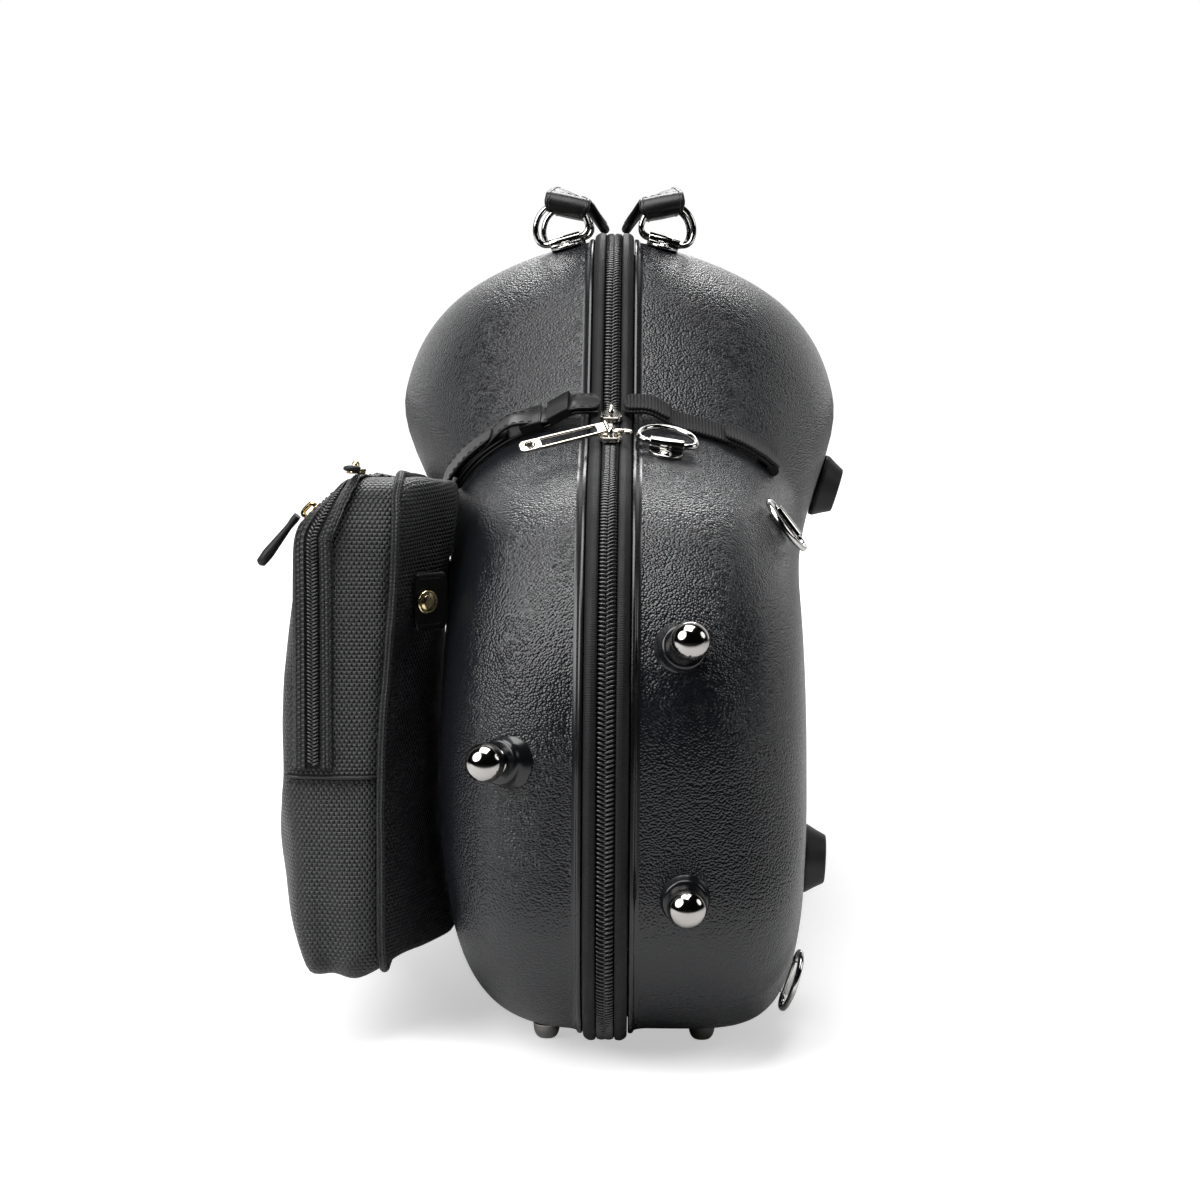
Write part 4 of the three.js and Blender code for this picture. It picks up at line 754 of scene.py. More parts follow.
# A ring's pivot follows its plate's place, with the Y and Z axes of the ring
RINGS = {
    "shelf": ((39.3562, -263.502, 246.8103), (.9871, 0, -.1599), (.1555, -.2321, .9602),
              (-.0371, -.9727, -.2291), (39.8849, -264.2911, 250.075), (.1517, -.316, .9366),
              (-.0505, -.9488, -.3119)),
    "strap_near_upper": ((89.0402, -272.4841, 215.1814), (-.6139, 0, .7894), (.7776, -.1723, .6047),
                         (.136, .985, .1058), (91.684, -273.0701, 217.2374), (.7852, -.1032, .6106),
                         (.0815, .9947, .0634)),
    "strap_near_lower": ((91.4792, -294.434, 23.9061), (.3129, 0, .9498), (.9498, -.0053, -.3129),
                         (.005, 1, -.0017), (94.7085, -294.452, 22.8423), (.9478, .0645, -.3122),
                         (-.0612, .9979, .0202)),
    "strap_far_upper": ((74.9918, 344.5834, 172.0691), (.2307, 0, -.973), (.9717, .0528, .2304),
                        (.0514, -.9986, .0122), (78.2954, 344.7631, 172.8524), (.9729, -.0169, .2307),
                        (-.0165, -.9999, -.0039)),
    "strap_far_lower": ((79.2094, 344.5729, 29.9064), (-.3121, 0, -.95), (.9499, .0178, -.3121),
                        (.0169, -.9998, -.0056), (82.439, 344.6335, 28.8453), (.9488, -.052, -.3117),
                        (-.0494, -.9986, .0162)),
    "handle_base_near": ((38.1891, -115.4324, 332.0974), (.9643, 0, -.265), (.265, 0, .9643), (0, -1, 0),
                         (39.0899, -115.4324, 335.3759), (0, -1, 0), (-.265, 0, -.9643)),
    "handle_base_far": ((38.1891, 16.5676, 330.0892), (-.9643, 0, .265), (.265, 0, .9643), (0, 1, 0),
                        (39.0899, 16.5676, 333.3676), (0, 1, 0), (-.265, 0, -.9643)),
    "handle_lid_near": ((-6.9759, -115.4324, 331.9933), (.9586, 0, .2849), (-.2849, 0, .9586), (0, -1, 0),
                        (-7.9446, -115.4324, 335.2524), (0, -1, 0), (.2849, 0, -.9586)),
    "handle_lid_far": ((-6.9759, 16.5676, 329.951), (-.9586, 0, -.2849), (-.2849, 0, .9586), (0, 1, 0),
                       (-7.9446, 16.5676, 333.21), (0, 1, 0), (.2849, 0, -.9586)),
}
plate_parts, ring_tube = plate_shapes(), tube(ring_points(), WIRE, 14, closed=True, up=(0, 1, 0))
for name, (at, x, y, z, pivot, ry, rz) in RINGS.items():
    hardware(name + "_plate_metal", name + "_plate", "chrome", plate_parts, at, x, y, z, sharp=35)
    hardware(name + "_ring_wire", name + "_ring", "chrome", [ring_tube], pivot, x, ry, rz, sharp=80)


# ---------------------------------------------------------------- leather straps
def band(rows, normals, thickness):
    """A strap from rows of points across it, with its normals: rounded edges, top at the thickness."""
    n, m = rows.shape[:2]
    side_in = unit(rows[:, 1] - rows[:, 0])
    side_out = unit(rows[:, -1] - rows[:, -2])
    t = np.asarray(thickness, float) * np.ones((n, 1))
    r = .45 * t
    turns = [(r * math.cos(a) - r, t / 2 * math.sin(a)) for a in np.linspace(-math.pi / 2, math.pi / 2, 7)]
    right = [rows[:, -1] + side_out * out + normals[:, -1] * (t / 2 + rise) for out, rise in turns]
    left = [rows[:, 0] - side_in * out + normals[:, 0] * (t / 2 - rise) for out, rise in turns]
    top = [rows[:, k] + normals[:, k] * t for k in range(m - 2, 0, -1)]
    ring = np.stack([rows[:, k] for k in range(1, m - 1)] + right + top + left, 1)
    u, v = lengths(rows[:, m // 2]), np.linspace(0, 40, ring.shape[1])
    return grid(ring, wrap_v=True, caps=True), uv_rows(u, v)


HANDLES = {
    "base": ((40.5472, -115.4324, 340.6794), (.9799, .003, .1993), (0, .9999, -.0152),
             (-.1993, .0149, .9798), -1),
    "lid": ((-9.5116, -115.4324, 340.5244), (.9799, -.0031, -.1993), (0, .9999, -.0155),
            (.1993, .0152, .9798), 1),
}
HANDLE_LENGTH = 132  # from the near ring's bar to the far ring's
LOOP_TOP = 12.5 + 1.35 + .6 + 1.2  # the ring, its wire, a gap and half of the leather
LOOP = [(23.75, LOOP_TOP - 2.7, 0), (11.9, 10.7, 0), (3.75, 8.6, 0), (-2.6, 7.9, 0), (-5.1, 9.0, .5),
        (-5.9, 11.6, 1), (-4.2, 14.2, 1), (0, LOOP_TOP - .2, 1), (11.25, LOOP_TOP, 1)]


def handle_path():
    """Length, height and width share of the handle, from under one ring round it and on to the other."""
    grip = [(HANDLE_LENGTH * s, LOOP_TOP + 3 * math.sin(math.pi * s) ** .6, 1 + math.sin(math.pi * s) ** .6)
            for s in (.16, .28, .4, .5, .6, .72, .84)]
    far = [(HANDLE_LENGTH - y, h, w) for y, h, w in LOOP][::-1]
    return spline(LOOP + grip + far, 150)


def make_handle(name):
    *place, inwards = HANDLES[name]
    path = handle_path()
    step = np.gradient(path[:, :2], axis=0)
    normal = unit(np.c_[-step[:, 1], step[:, 0]])
    grip = np.clip(path[:, 2] - 1, 0, 1)
    loop = mix(9.0, 10.8, np.clip(path[:, 2], 0, 1))
    left, right = -mix(loop, 10, grip), mix(loop, 21.6, grip)
    columns, t = 21, 2.4
    share = np.linspace(0, 1, columns)
    rows = np.zeros((len(path), columns, 3))
    ups = np.zeros_like(rows)
    crown = .5 * np.sin(math.pi * share) * (1 - .3 * np.abs(2 * share - 1))
    for k, s in enumerate(share):
        drop, lean = grip * 15 * s ** 2.2, grip * s * 1.1
        across = inwards * mix(left, right, s)
        up = unit(np.stack([inwards * lean, normal[:, 0], normal[:, 1]], 1))
        middle = np.stack([across, path[:, 0], path[:, 1] - drop], 1)
        rows[:, k] = middle - up * (t / 2) + up * (crown[k] * .5)
        ups[:, k] = up
    padding = grip * 2.4
    shape, uv = band(rows - ups * padding[:, None, None], ups, t + padding[:, None])
    piece = Piece(name + "_handle_leather", name + "_handle", "leather thread edge", "leather", 60)
    piece.add(placed(shape, *place), uv)
    for where in (2, columns - 3):
        line, up = rows[4:-4, where] + ups[4:-4, where] * (t + .02), ups[4:-4, where]
        piece.add(placed(tube(line, .32, 6, squash=.35), *place), mat=2)
        piece.add(placed(stitches(line, up, 2.6, 1.2, .26), *place), mat=1)
    for y in (14.2, HANDLE_LENGTH - 14.2):
        line = np.c_[np.linspace(-9.6, 9.6, 12), np.full(12, y), np.full(12, LOOP_TOP + t / 2 + .3)]
        piece.add(placed(stitches(line, np.tile(arr(0, 0, 1), (12, 1)), 2.4, 1.1, .26), *place), mat=1)
    piece.put()


for name in HANDLES:
    make_handle(name)

VALLEY = (170, 258)  # the seam's Y and Z between the shelf and the dome
STRAP_BEFORE = 4.0  # how far the strap's middle lies before the valley
SHELF_SLOPE = math.atan2(40, 165.5)
VALLEY_SLOPE = (SHELF_SLOPE + math.atan2(76.5, 73)) / 2
VALLEY_UP = arr(0, -math.sin(VALLEY_SLOPE), math.cos(VALLEY_SLOPE))
VALLEY_ALONG = arr(0, math.cos(VALLEY_SLOPE), math.sin(VALLEY_SLOPE))


def strap_rows(side, start, reach, count, half=8.0, columns=11, lift=0.0, skew=0.0):
    """Rows of points across the valley on a shell, from the seam out, and their normals."""
    rows = np.zeros((count, columns, 3))
    for i, a in enumerate(np.linspace(start, reach, count)):
        turn = skew * float(smooth(a, 28, 68))
        for j, w in enumerate(np.linspace(-half, half, columns)):
            ground = arr(side * max(a, SKIN_X + .2), *VALLEY) + VALLEY_ALONG * (w - turn - STRAP_BEFORE)
            hit = cast(side, ground + VALLEY_UP * 334, -VALLEY_UP)
            hit = hit if hit is not None else rows[i - 1, j]
            hit[0] = side * a
            rows[i, j] = hit + VALLEY_UP * mix(6.4, 1.1, float(smooth(a, 13, 30)))
    rows = calm(rows, 2)
    normals = unit(np.cross(np.gradient(rows, axis=0), VALLEY_ALONG) * side)
    lift = np.broadcast_to(np.asarray(lift, float), (count,))
    return rows + normals * lift[:, None, None], normals


def taper(rows, share_start=0.0, share_end=0.0, length=.1):
    """Draws the strap's sides in towards its ends, for a rounded or pointed tip."""
    t = np.linspace(0, 1, len(rows))
    k = np.ones(len(rows))
    for share, from_tip in ((share_start, t), (share_end, 1 - t)):
        k *= 1 - share * (1 - np.sqrt(np.clip(1 - (1 - np.clip(from_tip / length, 0, 1)) ** 2, 0, 1)))
    half = rows.shape[1] // 2
    middle = rows[:, half:half + 1]
    return middle + (rows - middle) * k[:, None, None]


def edge_stitches(piece, rows, normals, thickness):
    for k in (1, rows.shape[1] - 2):
        line = rows[2:-2, k] + normals[2:-2, k] * (thickness + .02)
        piece.add(stitches(line, normals[2:-2, k], 2.4, 1.2, .25), mat=1)


def make_closure():
    """A leather half on the lid under two keepers, and a webbing half on the base."""
    lid = Piece("closure_leather", "closure_strap_lid", "leather thread edge", "leather", 60)
    t = np.linspace(0, 1, 70)
    arch = 1.9 + 4.6 * np.exp(-((t - .62) / .15) ** 2) + 1.6 * smooth(t, .8, 1)
    # start, reach, rows, half width and lift; the taper; the thickness; sewn along its edges or not
    for place, tip, thickness, sewn in (((6, 68, 70, 8.0, 0.0), (0, .5, .06), 1.7, False),
                                        ((5.2, 66, 70, 7.6, arch), (.6, .5, .07), 1.8, True),
                                        ((45, 68, 30, 8.0, mix(2.0, 1.9, np.linspace(0, 1, 30))),
                                         (.25, .6, .2), 1.6, False),
                                        ((50, 69, 26, 8.2, 5.6), (.3, .6, .25), 1.7, True)):
        start, reach, count, half, lift = place
        rows, normals = strap_rows(LID, start, reach, count, half, lift=lift, skew=8)
        lid.add(*band(taper(rows, *tip), normals, thickness))
        if sewn:
            edge_stitches(lid, rows, normals, thickness)
    lid.put()
    for node, start in (("closure_keeper_inner", 17), ("closure_keeper_outer", 30)):
        rows, normals = strap_rows(LID, start, start + 9, 14, half=8.7, lift=3.7, columns=13)
        keeper = Piece(node + "_leather", node, "leather thread", "leather", 60)
        keeper.add(*band(rows, normals, 1.6))
        for k in (1, -2):
            keeper.add(stitches(rows[k] + normals[k] * 1.62, normals[k], 2.0, 1.0, .22), mat=1)
        for k in (0, -1):
            wall = np.stack([rows[:, k] + normals[:, k] * drop for drop in np.linspace(1.0, -2.9, 6)], 1)
            out = unit(rows[:, k] - rows[:, 6])[:, None]
            wall = np.concatenate([wall - out * .9, (wall + out * .5)[:, ::-1]], 1)
            keeper.add(grid(wall, wrap_v=True, caps=True))
        keeper.put()
    base = Piece("closure_webbing", "closure_strap_base", "webbing thread", "webbing", 60)
    rows, normals = strap_rows(BASE, 5.2, 71.5, 90)
    ripple = .35 * np.sin(np.linspace(0, 9, 90))[:, None, None] * normals
    base.add(*band(taper(rows + ripple, .45, 0, .05), normals, 1.9))
    for start, reach, count, half, tip, thickness in ((5.4, 24, 26, 7.2, (.7, .1, .2), 1.8),
                                                      (49, 72, 30, 7.6, (.5, 0, .12), 2.0)):
        layer, up = strap_rows(BASE, start, reach, count, half, lift=2.1)
        base.add(*band(taper(layer, *tip), up, thickness))
    last = rows[-1]
    tip = last.mean(0) + normals[-1].mean(0) * .9
    roll = tip + np.linspace(-8.2, 8.2, 24)[:, None] * unit(last[-1] - last[0])
    base.add(tube(roll, 2.6 + .12 * np.sin(np.arange(24) * 2.1), 14, up=(1, 0, 0)),
             uv_rows(np.linspace(0, 16, 24), np.zeros(14)))
    for k in (-6, -9):
        base.add(stitches(rows[k] + normals[k] * 1.95, normals[k], 1.8, .9, .24), mat=1)
    base.put()


make_closure()


# ---------------------------------------------------------------- sliders and pulls
def rounded_bar(x0, x1, half, r):
    """Outline of a flat bar along X with rounded ends, in XZ."""
    out, left, right, z = [], x0 + r, x1 - r, half - r
    for cx, cz, a0 in ((right, z, 0), (left, z, 1), (left, -z, 2), (right, -z, 3)):
        for a in (a0 + np.linspace(0, 1, 9)) * math.pi / 2:
            out.append((cx + r * math.cos(a), cz + r * math.sin(a)))
    return out


def slider_shapes(half=4.8, length=12.0, base=2.4, bail=8.0, height=3.4):
    """A zip slider's two plates and the bail over them."""
    right = [(half * .72, length / 2), (half, length * .28), (half, -length * .1),
             (half * .62, -length * .42), (half * .3, -length / 2)]
    body = [right[0]] + [(-a, b) for a, b in right] + right[:0:-1]
    body = [tuple(p) for p in rounded([*body, body[0]], 1.2)]
    top = flat_shape([body], base * .55, .3, base * .45)
    low = flat_shape([[(a * .94, b * .94) for a, b in body]], base * .45, .25, 0)
    arch = arr((-bail / 2, base * .6), (-bail / 2, base + height * .55), (-bail / 3, base + height * .92),
               (bail / 3, base + height * .92), (bail / 2, base + height * .55), (bail / 2, base * .6))
    line = spline(np.c_[np.zeros(6), arch[:, 1], arch[:, 0]], 26)
    return [top, low, tube(line, 1.05, 10, up=(1, 0, 0), squash=1.25)]


def long_pull():
    """Two rails, a plate with an eyelet at the end, and the root round the bail."""
    rail = [(x, 1.0, z) for x, z in rounded([(1.5, 0), (1.5, 2.55), (30.5, 2.75), (32.5, 0)], 2.2, 6)]
    ring = np.array(rail + [(x, y, -z) for x, y, z in rail[-2:0:-1]])
    hole, eye = -circle(24), circle(24)
    return [
        tube(even(np.vstack([ring, ring[:1]]), 90)[:-1], .86, 10, closed=True, up=(0, 1, 0)),
        flat_shape([rounded_bar(28.6, 38.6, 3.2, 2.6), np.c_[33.9 + 1.7 * np.cos(hole), 1.7 * np.sin(hole)]],
                   1.5, .4, .25),
        flat_shape([rounded_bar(-1.2, 4.2, 3.0, 1.4)], 1.6, .4, .2),
        tube(np.c_[np.full(12, -.6), np.full(12, 1.0), np.linspace(-2.7, 2.7, 12)], 1.3, 12, up=(1, 0, 0)),
        tube(np.c_[33.9 + 2.1 * np.cos(eye), np.full(24, 1.75), 2.1 * np.sin(eye)], .4, 8, closed=True,
             up=(0, 1, 0)),
    ]


def make_sliders():
    for node, at in (("zip_slider_near", (15.6096, -267.7245, 252.2282)),
                     ("zip_slider_far", (15.6096, -239.7245, 258.9956))):
        hardware(node + "_metal", node, "nickel", slider_shapes(), at,
                 (-1, 0, 0), (0, -.2349, .972), (0, .972, .2349))
    ahead, up, wide = arr(-.9513, -.207, -.2287), arr(-.1677, -.275, .9467), arr(-.2588, .9389, .2269)
    c, d = math.cos(.42), math.sin(.42)
    hardware("zip_pull_metal", "zip_pull_long", "nickel", long_pull(), (13.3555, -266.6262, 256.4),
             ahead, up * c - wide * d, wide * c + up * d)
    hook = [(0, 2.2), (4.6, 2.2), (6.4, 1.6), (8, .2), (7.4, -1.6), (5.6, -2.2), (4.2, -1.9),
            (4.6, -.9), (5.4, -.5), (5.2, .2), (4, .5), (2.2, -.2), (1.6, -2.2), (0, -2.2)]
    hook = [tuple(p) for p in rounded([*hook, hook[0]], .5, 4)]
    hardware("zip_hook_metal", "zip_hook", "nickel", [flat_shape([hook], 1.4, .3)],
             (17.0096, -268.3588, 254.8527), (1, 0, 0), (0, -.2349, .972), (0, -.972, -.2349))


make_sliders()


# ---------------------------------------------------------------- pocket
POCKET_NEAR, POCKET_FAR, POCKET_LENGTH = 47, 327, 280
POCKET_BOTTOM = 34
POCKET_MIDDLE = np.array([-113.0, 182, 134])
FRONT_X, FOOT_Z, HEAD_Z = -136, 31, 243
SHRINK = 181 / 209  # the pocket's height at its far end, as a share of the height at its near end
SAG = 6.5
SKIN_INSET = 1.2
ZIP_X, ZIP_TOP_X, BEND_Z, FLAP_Z = -121.0, -106.0, 217.0, 118.0


def shrink(y):
    return mix(1, SHRINK, (y - POCKET_NEAR) / POCKET_LENGTH)


def taper_z(y, z):
    """Height on the pocket at Y, for a height given at its near end."""
    return POCKET_BOTTOM + (z - POCKET_BOTTOM) * shrink(y)


def untaper_z(y, z):
    return POCKET_BOTTOM + (z - POCKET_BOTTOM) / shrink(y)


BACK_Y, BACK_Z = np.linspace(POCKET_NEAR, POCKET_FAR, 29), np.linspace(30, 246, 25)
# The shell's side behind the pocket, and the pocket's back, which stays within 9 mm of flat
HITS = [[cast(LID, (-400, y, z), (1, 0, 0)) for z in BACK_Z] for y in BACK_Y]
HITS = np.array([[0 if hit is None else hit[0] for hit in row] for row in HITS])
BACK_X = HITS.min(1) - 1.4
FOLLOW = np.minimum(HITS - 1.3, BACK_X[:, None] + 9)


def back_of(y, z):
    """The shell's side behind the pocket, a gap away, at each point."""
    i = np.clip((y - POCKET_NEAR) / 10, 0, 27.999)
    j = np.clip((z - 30) / 9, 0, 23.999)
    a, b = i.astype(int), j.astype(int)
    u, v = i - a, j - b
    return ((FOLLOW[a, b] * (1 - u) + FOLLOW[a + 1, b] * u) * (1 - v)
            + (FOLLOW[a, b + 1] * (1 - u) + FOLLOW[a + 1, b + 1] * u) * v)


def corner_x(z):
    """Where the near face turns into the slanted back, by height."""
    return -93 + 6.5 * smooth(z, 110, 225)


def soft_max(values, k):
    """The greatest of the values, rounded where they are close."""
    v = np.stack(values)
    m = v.max(0)
    return m + k * np.log(np.exp((v - m) / k).sum(0))


def pocket_field(p):
    """Below 0 inside the pocket's skin: the meeting of its faces, with soft corners."""
    x, y, z = p.T
    zn = untaper_z(y, z)
    back = np.interp(zn - POCKET_BOTTOM, [0, 14, 72, 124, 176, 183, 209], [6, 3.5, 0, 0, 5, 7, 29])
    bevel_x = np.interp(93.0, BACK_Y, BACK_X)
    d = unit(np.array([46.0, -(bevel_x + 92)]))
    bevel = (x - corner_x(z)) * d[0] + (y - POCKET_NEAR) * d[1]
    r = mix(15, 28, smooth(zn, 80, 200))
    zn = zn + SAG * (1 - smooth(zn, 34, 90)) * smooth(-x, 88, 104)
    qy, qz = np.abs(y - 187) - (140 - r), np.abs(zn - 138.5) - (104.5 - r)
    side = np.hypot(np.maximum(qy, 0), np.maximum(qz, 0)) + np.minimum(np.maximum(qy, qz), 0) - r
    return soft_max([(FRONT_X + back) - x, side, bevel, x - back_of(y, z)], 1.4) + SKIN_INSET


def pocket_mesh(step):
    """A closed skin over the pocket's form, found by looking out from its middle."""
    lo, hi = np.array([FRONT_X, POCKET_NEAR, 29.0]), np.array([-78.0, POCKET_FAR, HEAD_Z])
    n = np.maximum(np.round((hi - lo) / step).astype(int), 4)
    index, verts, quads = {}, [], []

    def vert(key):
        if key not in index:
            index[key] = len(verts)
            verts.append(lo + (hi - lo) * np.array(key) / n)
        return index[key]

    for axis in range(3):
        b, c = (axis + 1) % 3, (axis + 2) % 3
        for end in (0, n[axis]):
            for i in range(n[b]):
                for j in range(n[c]):
                    ring = []
                    for di, dj in ((0, 0), (1, 0), (1, 1), (0, 1)):
                        key = [0, 0, 0]
                        key[axis], key[b], key[c] = end, i + di, j + dj
                        ring.append(vert(tuple(int(q) for q in key)))
                    quads.append(ring if end else ring[::-1])
    d = np.array(verts) - POCKET_MIDDLE
    near, far = np.zeros(len(d)), np.full(len(d), 1.4)
    for _ in range(34):
        middle = (near + far) / 2
        inside = pocket_field(POCKET_MIDDLE + d * middle[:, None]) < 0
        near, far = np.where(inside, middle, near), np.where(inside, far, middle)
    return POCKET_MIDDLE + d * near[:, None], quads


def relax(verts, quads):
    """Evens the spacing of the points, keeping them near the form."""
    edges = np.array([(q[k], q[(k + 1) % 4]) for q in quads for k in range(4)])
    for _ in range(2):
        total, count = np.zeros_like(verts), np.zeros(len(verts))
        for a, b in ((0, 1), (1, 0)):
            np.add.at(total, edges[:, a], verts[edges[:, b]])
            np.add.at(count, edges[:, a], 1)
        verts = verts + .5 * (total / count[:, None] - verts)
    return verts


def seam_lines():
    """Points near the skin where the piping is sewn, round the pocket's back."""
    loop = []
    corners = ((15, POCKET_FAR - 15, FOOT_Z + 15, -90), (26, POCKET_FAR - 26, HEAD_Z - 26, 0),
               (26, POCKET_NEAR + 26, HEAD_Z - 26, 90), (15, POCKET_NEAR + 15, FOOT_Z + 15, 180))
    for r, cy, cz, turn in corners:
        for k in range(9):
            a = math.radians(turn + 90 * k / 8)
            loop.append((cy + r * math.cos(a), cz + r * math.sin(a)))
    back = []
    for y, z in even(arr(*loop, loop[0]), 200):
        z = taper_z(y, z)
        corner = float(corner_x(z))
        x = np.interp(y, BACK_Y, BACK_X)
        if y <= 100:
            x = mix(corner, np.interp(100, BACK_Y, BACK_X), (y - POCKET_NEAR) / 53)
        back.append((min(x - 3.0, corner) if y > 52 else corner - .6, y, z))
    return arr(*back)


def split_value(p):
    """Above 0 on the front that unzips."""
    zn = untaper_z(p[:, 1], p[:, 2])
    slanted = ZIP_X + np.maximum(zn - BEND_Z, 0) * 15 / 26
    return np.minimum(slanted - p[:, 0], zn - FLAP_Z)


def simulate(verts, quads, pinned):
    """Blender's cloth puffs the skin between its seams, by 6 mm at most."""
    o = linked("sim", new_mesh("sim", verts, quads))
    group = o.vertex_groups.new(name="pin")
    for i, w in enumerate(pinned):
        if w > .02:
            group.add([i], float(w), "REPLACE")
    cloth = o.modifiers.new("cloth", "CLOTH")
    s = cloth.settings
    s.quality, s.mass = 6, .25
    s.tension_stiffness = s.compression_stiffness = 12
    s.shear_stiffness, s.bending_stiffness = 6, 1.2
    s.use_pressure, s.uniform_pressure_force = True, 4.0
    s.vertex_group_mass, s.pin_stiffness = "pin", 1.0
    s.effector_weights.gravity = 0
    cloth.point_cache.frame_start, cloth.point_cache.frame_end = 1, 20
    scene = bpy.context.scene
    for f in range(1, 21):
        scene.frame_set(f)
    out = read(evaluated(o).to_mesh().vertices, "co") * 1000
    scene.frame_set(1)
    bpy.data.objects.remove(o)
    move = out - verts
    size = np.linalg.norm(move, axis=1, keepdims=True)
    return verts + move * np.minimum(1, 6.0 / np.maximum(size, 1e-9))


def distances(points, line):
    """Each point's distance to the nearest point of a line."""
    out = np.full(len(points), 1e9)
    for p in line:
        out = np.minimum(out, ((points - p) ** 2).sum(1))
    return np.sqrt(out)


def vertex_normals(verts, faces):
    f = np.array(faces)
    n = np.cross(verts[f[:, 2]] - verts[f[:, 0]], verts[f[:, 3]] - verts[f[:, 1]])
    total = np.zeros_like(verts)
    for k in range(4):
        np.add.at(total, f[:, k], n)
    return unit(total)


def box_uv(mesh):
    """UV in metres from the axis that each face looks along."""
    totals = read(mesh.polygons, "loop_total", 1, int)
    normal = read(mesh.polygons, "normal")[np.repeat(np.arange(len(totals)), totals)]
    axis = np.abs(normal).argmax(1)
    p = read(mesh.vertices, "co")[read(mesh.loops, "vertex_index", 1, int)]
    u = np.where(axis == 0, p[:, 1], p[:, 0])
    v = np.where(axis == 2, p[:, 1], p[:, 2])
    layer = mesh.uv_layers.get("UVMap") or mesh.uv_layers.new(name="UVMap")
    layer.data.foreach_set("uv", np.stack([u, v], 1).ravel())


def pocket_skin():
    """The pocket's skin as points and faces: the form, puffed by the cloth, with sags, folds and creases."""
    verts, quads = pocket_mesh(4.4)
    verts = relax(verts, quads)
    on_zip = np.exp(-(split_value(verts) / 5.0) ** 2)
    pinned = np.maximum(np.exp(-(distances(verts, seam_lines()) / 6.0) ** 2), on_zip)
    pinned = np.maximum(pinned, smooth(verts[:, 0] - back_of(verts[:, 1], verts[:, 2]), -9, -4))
    verts = simulate(verts, quads, pinned)
    normals = vertex_normals(verts, quads)
    sag = (np.sin(verts[:, 1] / 19 + 1) * np.sin(verts[:, 2] / 27 + verts[:, 1] / 61)
           + .6 * np.sin(verts[:, 1] / 9 + verts[:, 2] / 15) * np.sin(verts[:, 2] / 11))
    low = 1 - smooth(verts[:, 2], 60, 130)
    verts = verts + normals * ((.55 + .8 * low) * sag * (1 - pinned))[:, None]
    # A soft fold low on the near face, and slanting creases across the back
    x, y, z = verts.T
    dart = 1.5 * np.exp(-((x + 105) / 6) ** 2) - 2.3 * np.exp(-((x + 115 + .1 * (z - 40)) / 4.2) ** 2)
    dart *= (1 - smooth(z, 48, 112)) * (1 - smooth(y, 50, 90))
    slant = z + .9 * (x + 92) - 1.1 * (y - POCKET_NEAR)
    crease = .9 * np.sin(slant / 6.5) * smooth(x, -96, -88) * (1 - smooth(y, 80, 120)) * smooth(z, 60, 150)
    verts = verts + normals * ((dart + crease) * (1 - pinned))[:, None]
    verts[:, 0] = np.minimum(verts[:, 0], back_of(verts[:, 1], verts[:, 2]) + .3)
    return verts, quads


def make_pocket():
    """The bag and the front that unzips, cut from one skin; returns its tree and the cut's line."""
    o = linked("pocket_skin", new_mesh("pocket_skin", *pocket_skin()))
    sub = o.modifiers.new("sub", "SUBSURF")
    sub.levels = sub.render_levels = 1
    fine = bpy.data.meshes.new_from_object(evaluated(o))
    bpy.data.objects.remove(o)
    bm = bmesh.new()
    bm.from_mesh(fine)
    bmesh.ops.recalc_face_normals(bm, faces=bm.faces)
    tan = (SHRINK - 1) / POCKET_LENGTH
    cuts = [(Vector((0, POCKET_NEAR, z)) / 1000, Vector((0, -(z - POCKET_BOTTOM) * tan, 1)).normalized())
            for z in (FLAP_Z, BEND_Z)]
    a, b, c = (Vector(p) for p in ((ZIP_X, POCKET_NEAR, BEND_Z),
                                   (ZIP_X, POCKET_FAR, float(taper_z(POCKET_FAR, BEND_Z))),
                                   (ZIP_TOP_X, POCKET_NEAR, HEAD_Z)))
    cuts += [(Vector((ZIP_X, 0, 0)) / 1000, (1, 0, 0)), (a / 1000, (b - a).cross(c - a).normalized())]
    for co, no in cuts:
        bmesh.ops.bisect_plane(bm, geom=bm.verts[:] + bm.edges[:] + bm.faces[:], plane_co=co, plane_no=no)
    front = split_value(np.array([f.calc_center_median() for f in bm.faces]) * 1000) > 0
    skin_tree = BVHTree.FromBMesh(bm)
    bm.faces.index_update()
    rim = [e for e in bm.edges
           if len(e.link_faces) == 2 and front[e.link_faces[0].index] != front[e.link_faces[1].index]]
    loop = order_edges(rim)
    for name, node, take in (("pocket_bag", "pocket_body", ~front), ("pocket_flap", "pocket_front", front)):
        part = bm.copy()
        part.faces.ensure_lookup_table()
        bmesh.ops.delete(part, geom=[f for f in part.faces if not take[f.index]], context="FACES")
        m = bpy.data.meshes.new(name)
        part.to_mesh(m)
        part.free()
        m.vertices.foreach_set("co", (read(m.vertices, "co") + SHIFT / 1000).ravel())
        m.update()
        m.polygons.foreach_set("use_smooth", [True] * len(m.polygons))
        piece = linked(name, m)
        for mat in ("nylon", "lining", "piping"):
            m.materials.append(MAT[mat])
        solid = piece.modifiers.new("wall", "SOLIDIFY")
        solid.thickness, solid.offset, solid.material_offset, solid.material_offset_rim = .0022, -1, 1, 2
        final = bpy.data.meshes.new_from_object(evaluated(piece))
        piece.modifiers.clear()
        piece.data = final
        box_uv(final)
        final.set_sharp_from_angle(angle=math.radians(50))
        settle(piece, node)
    bm.free()
    return skin_tree, loop


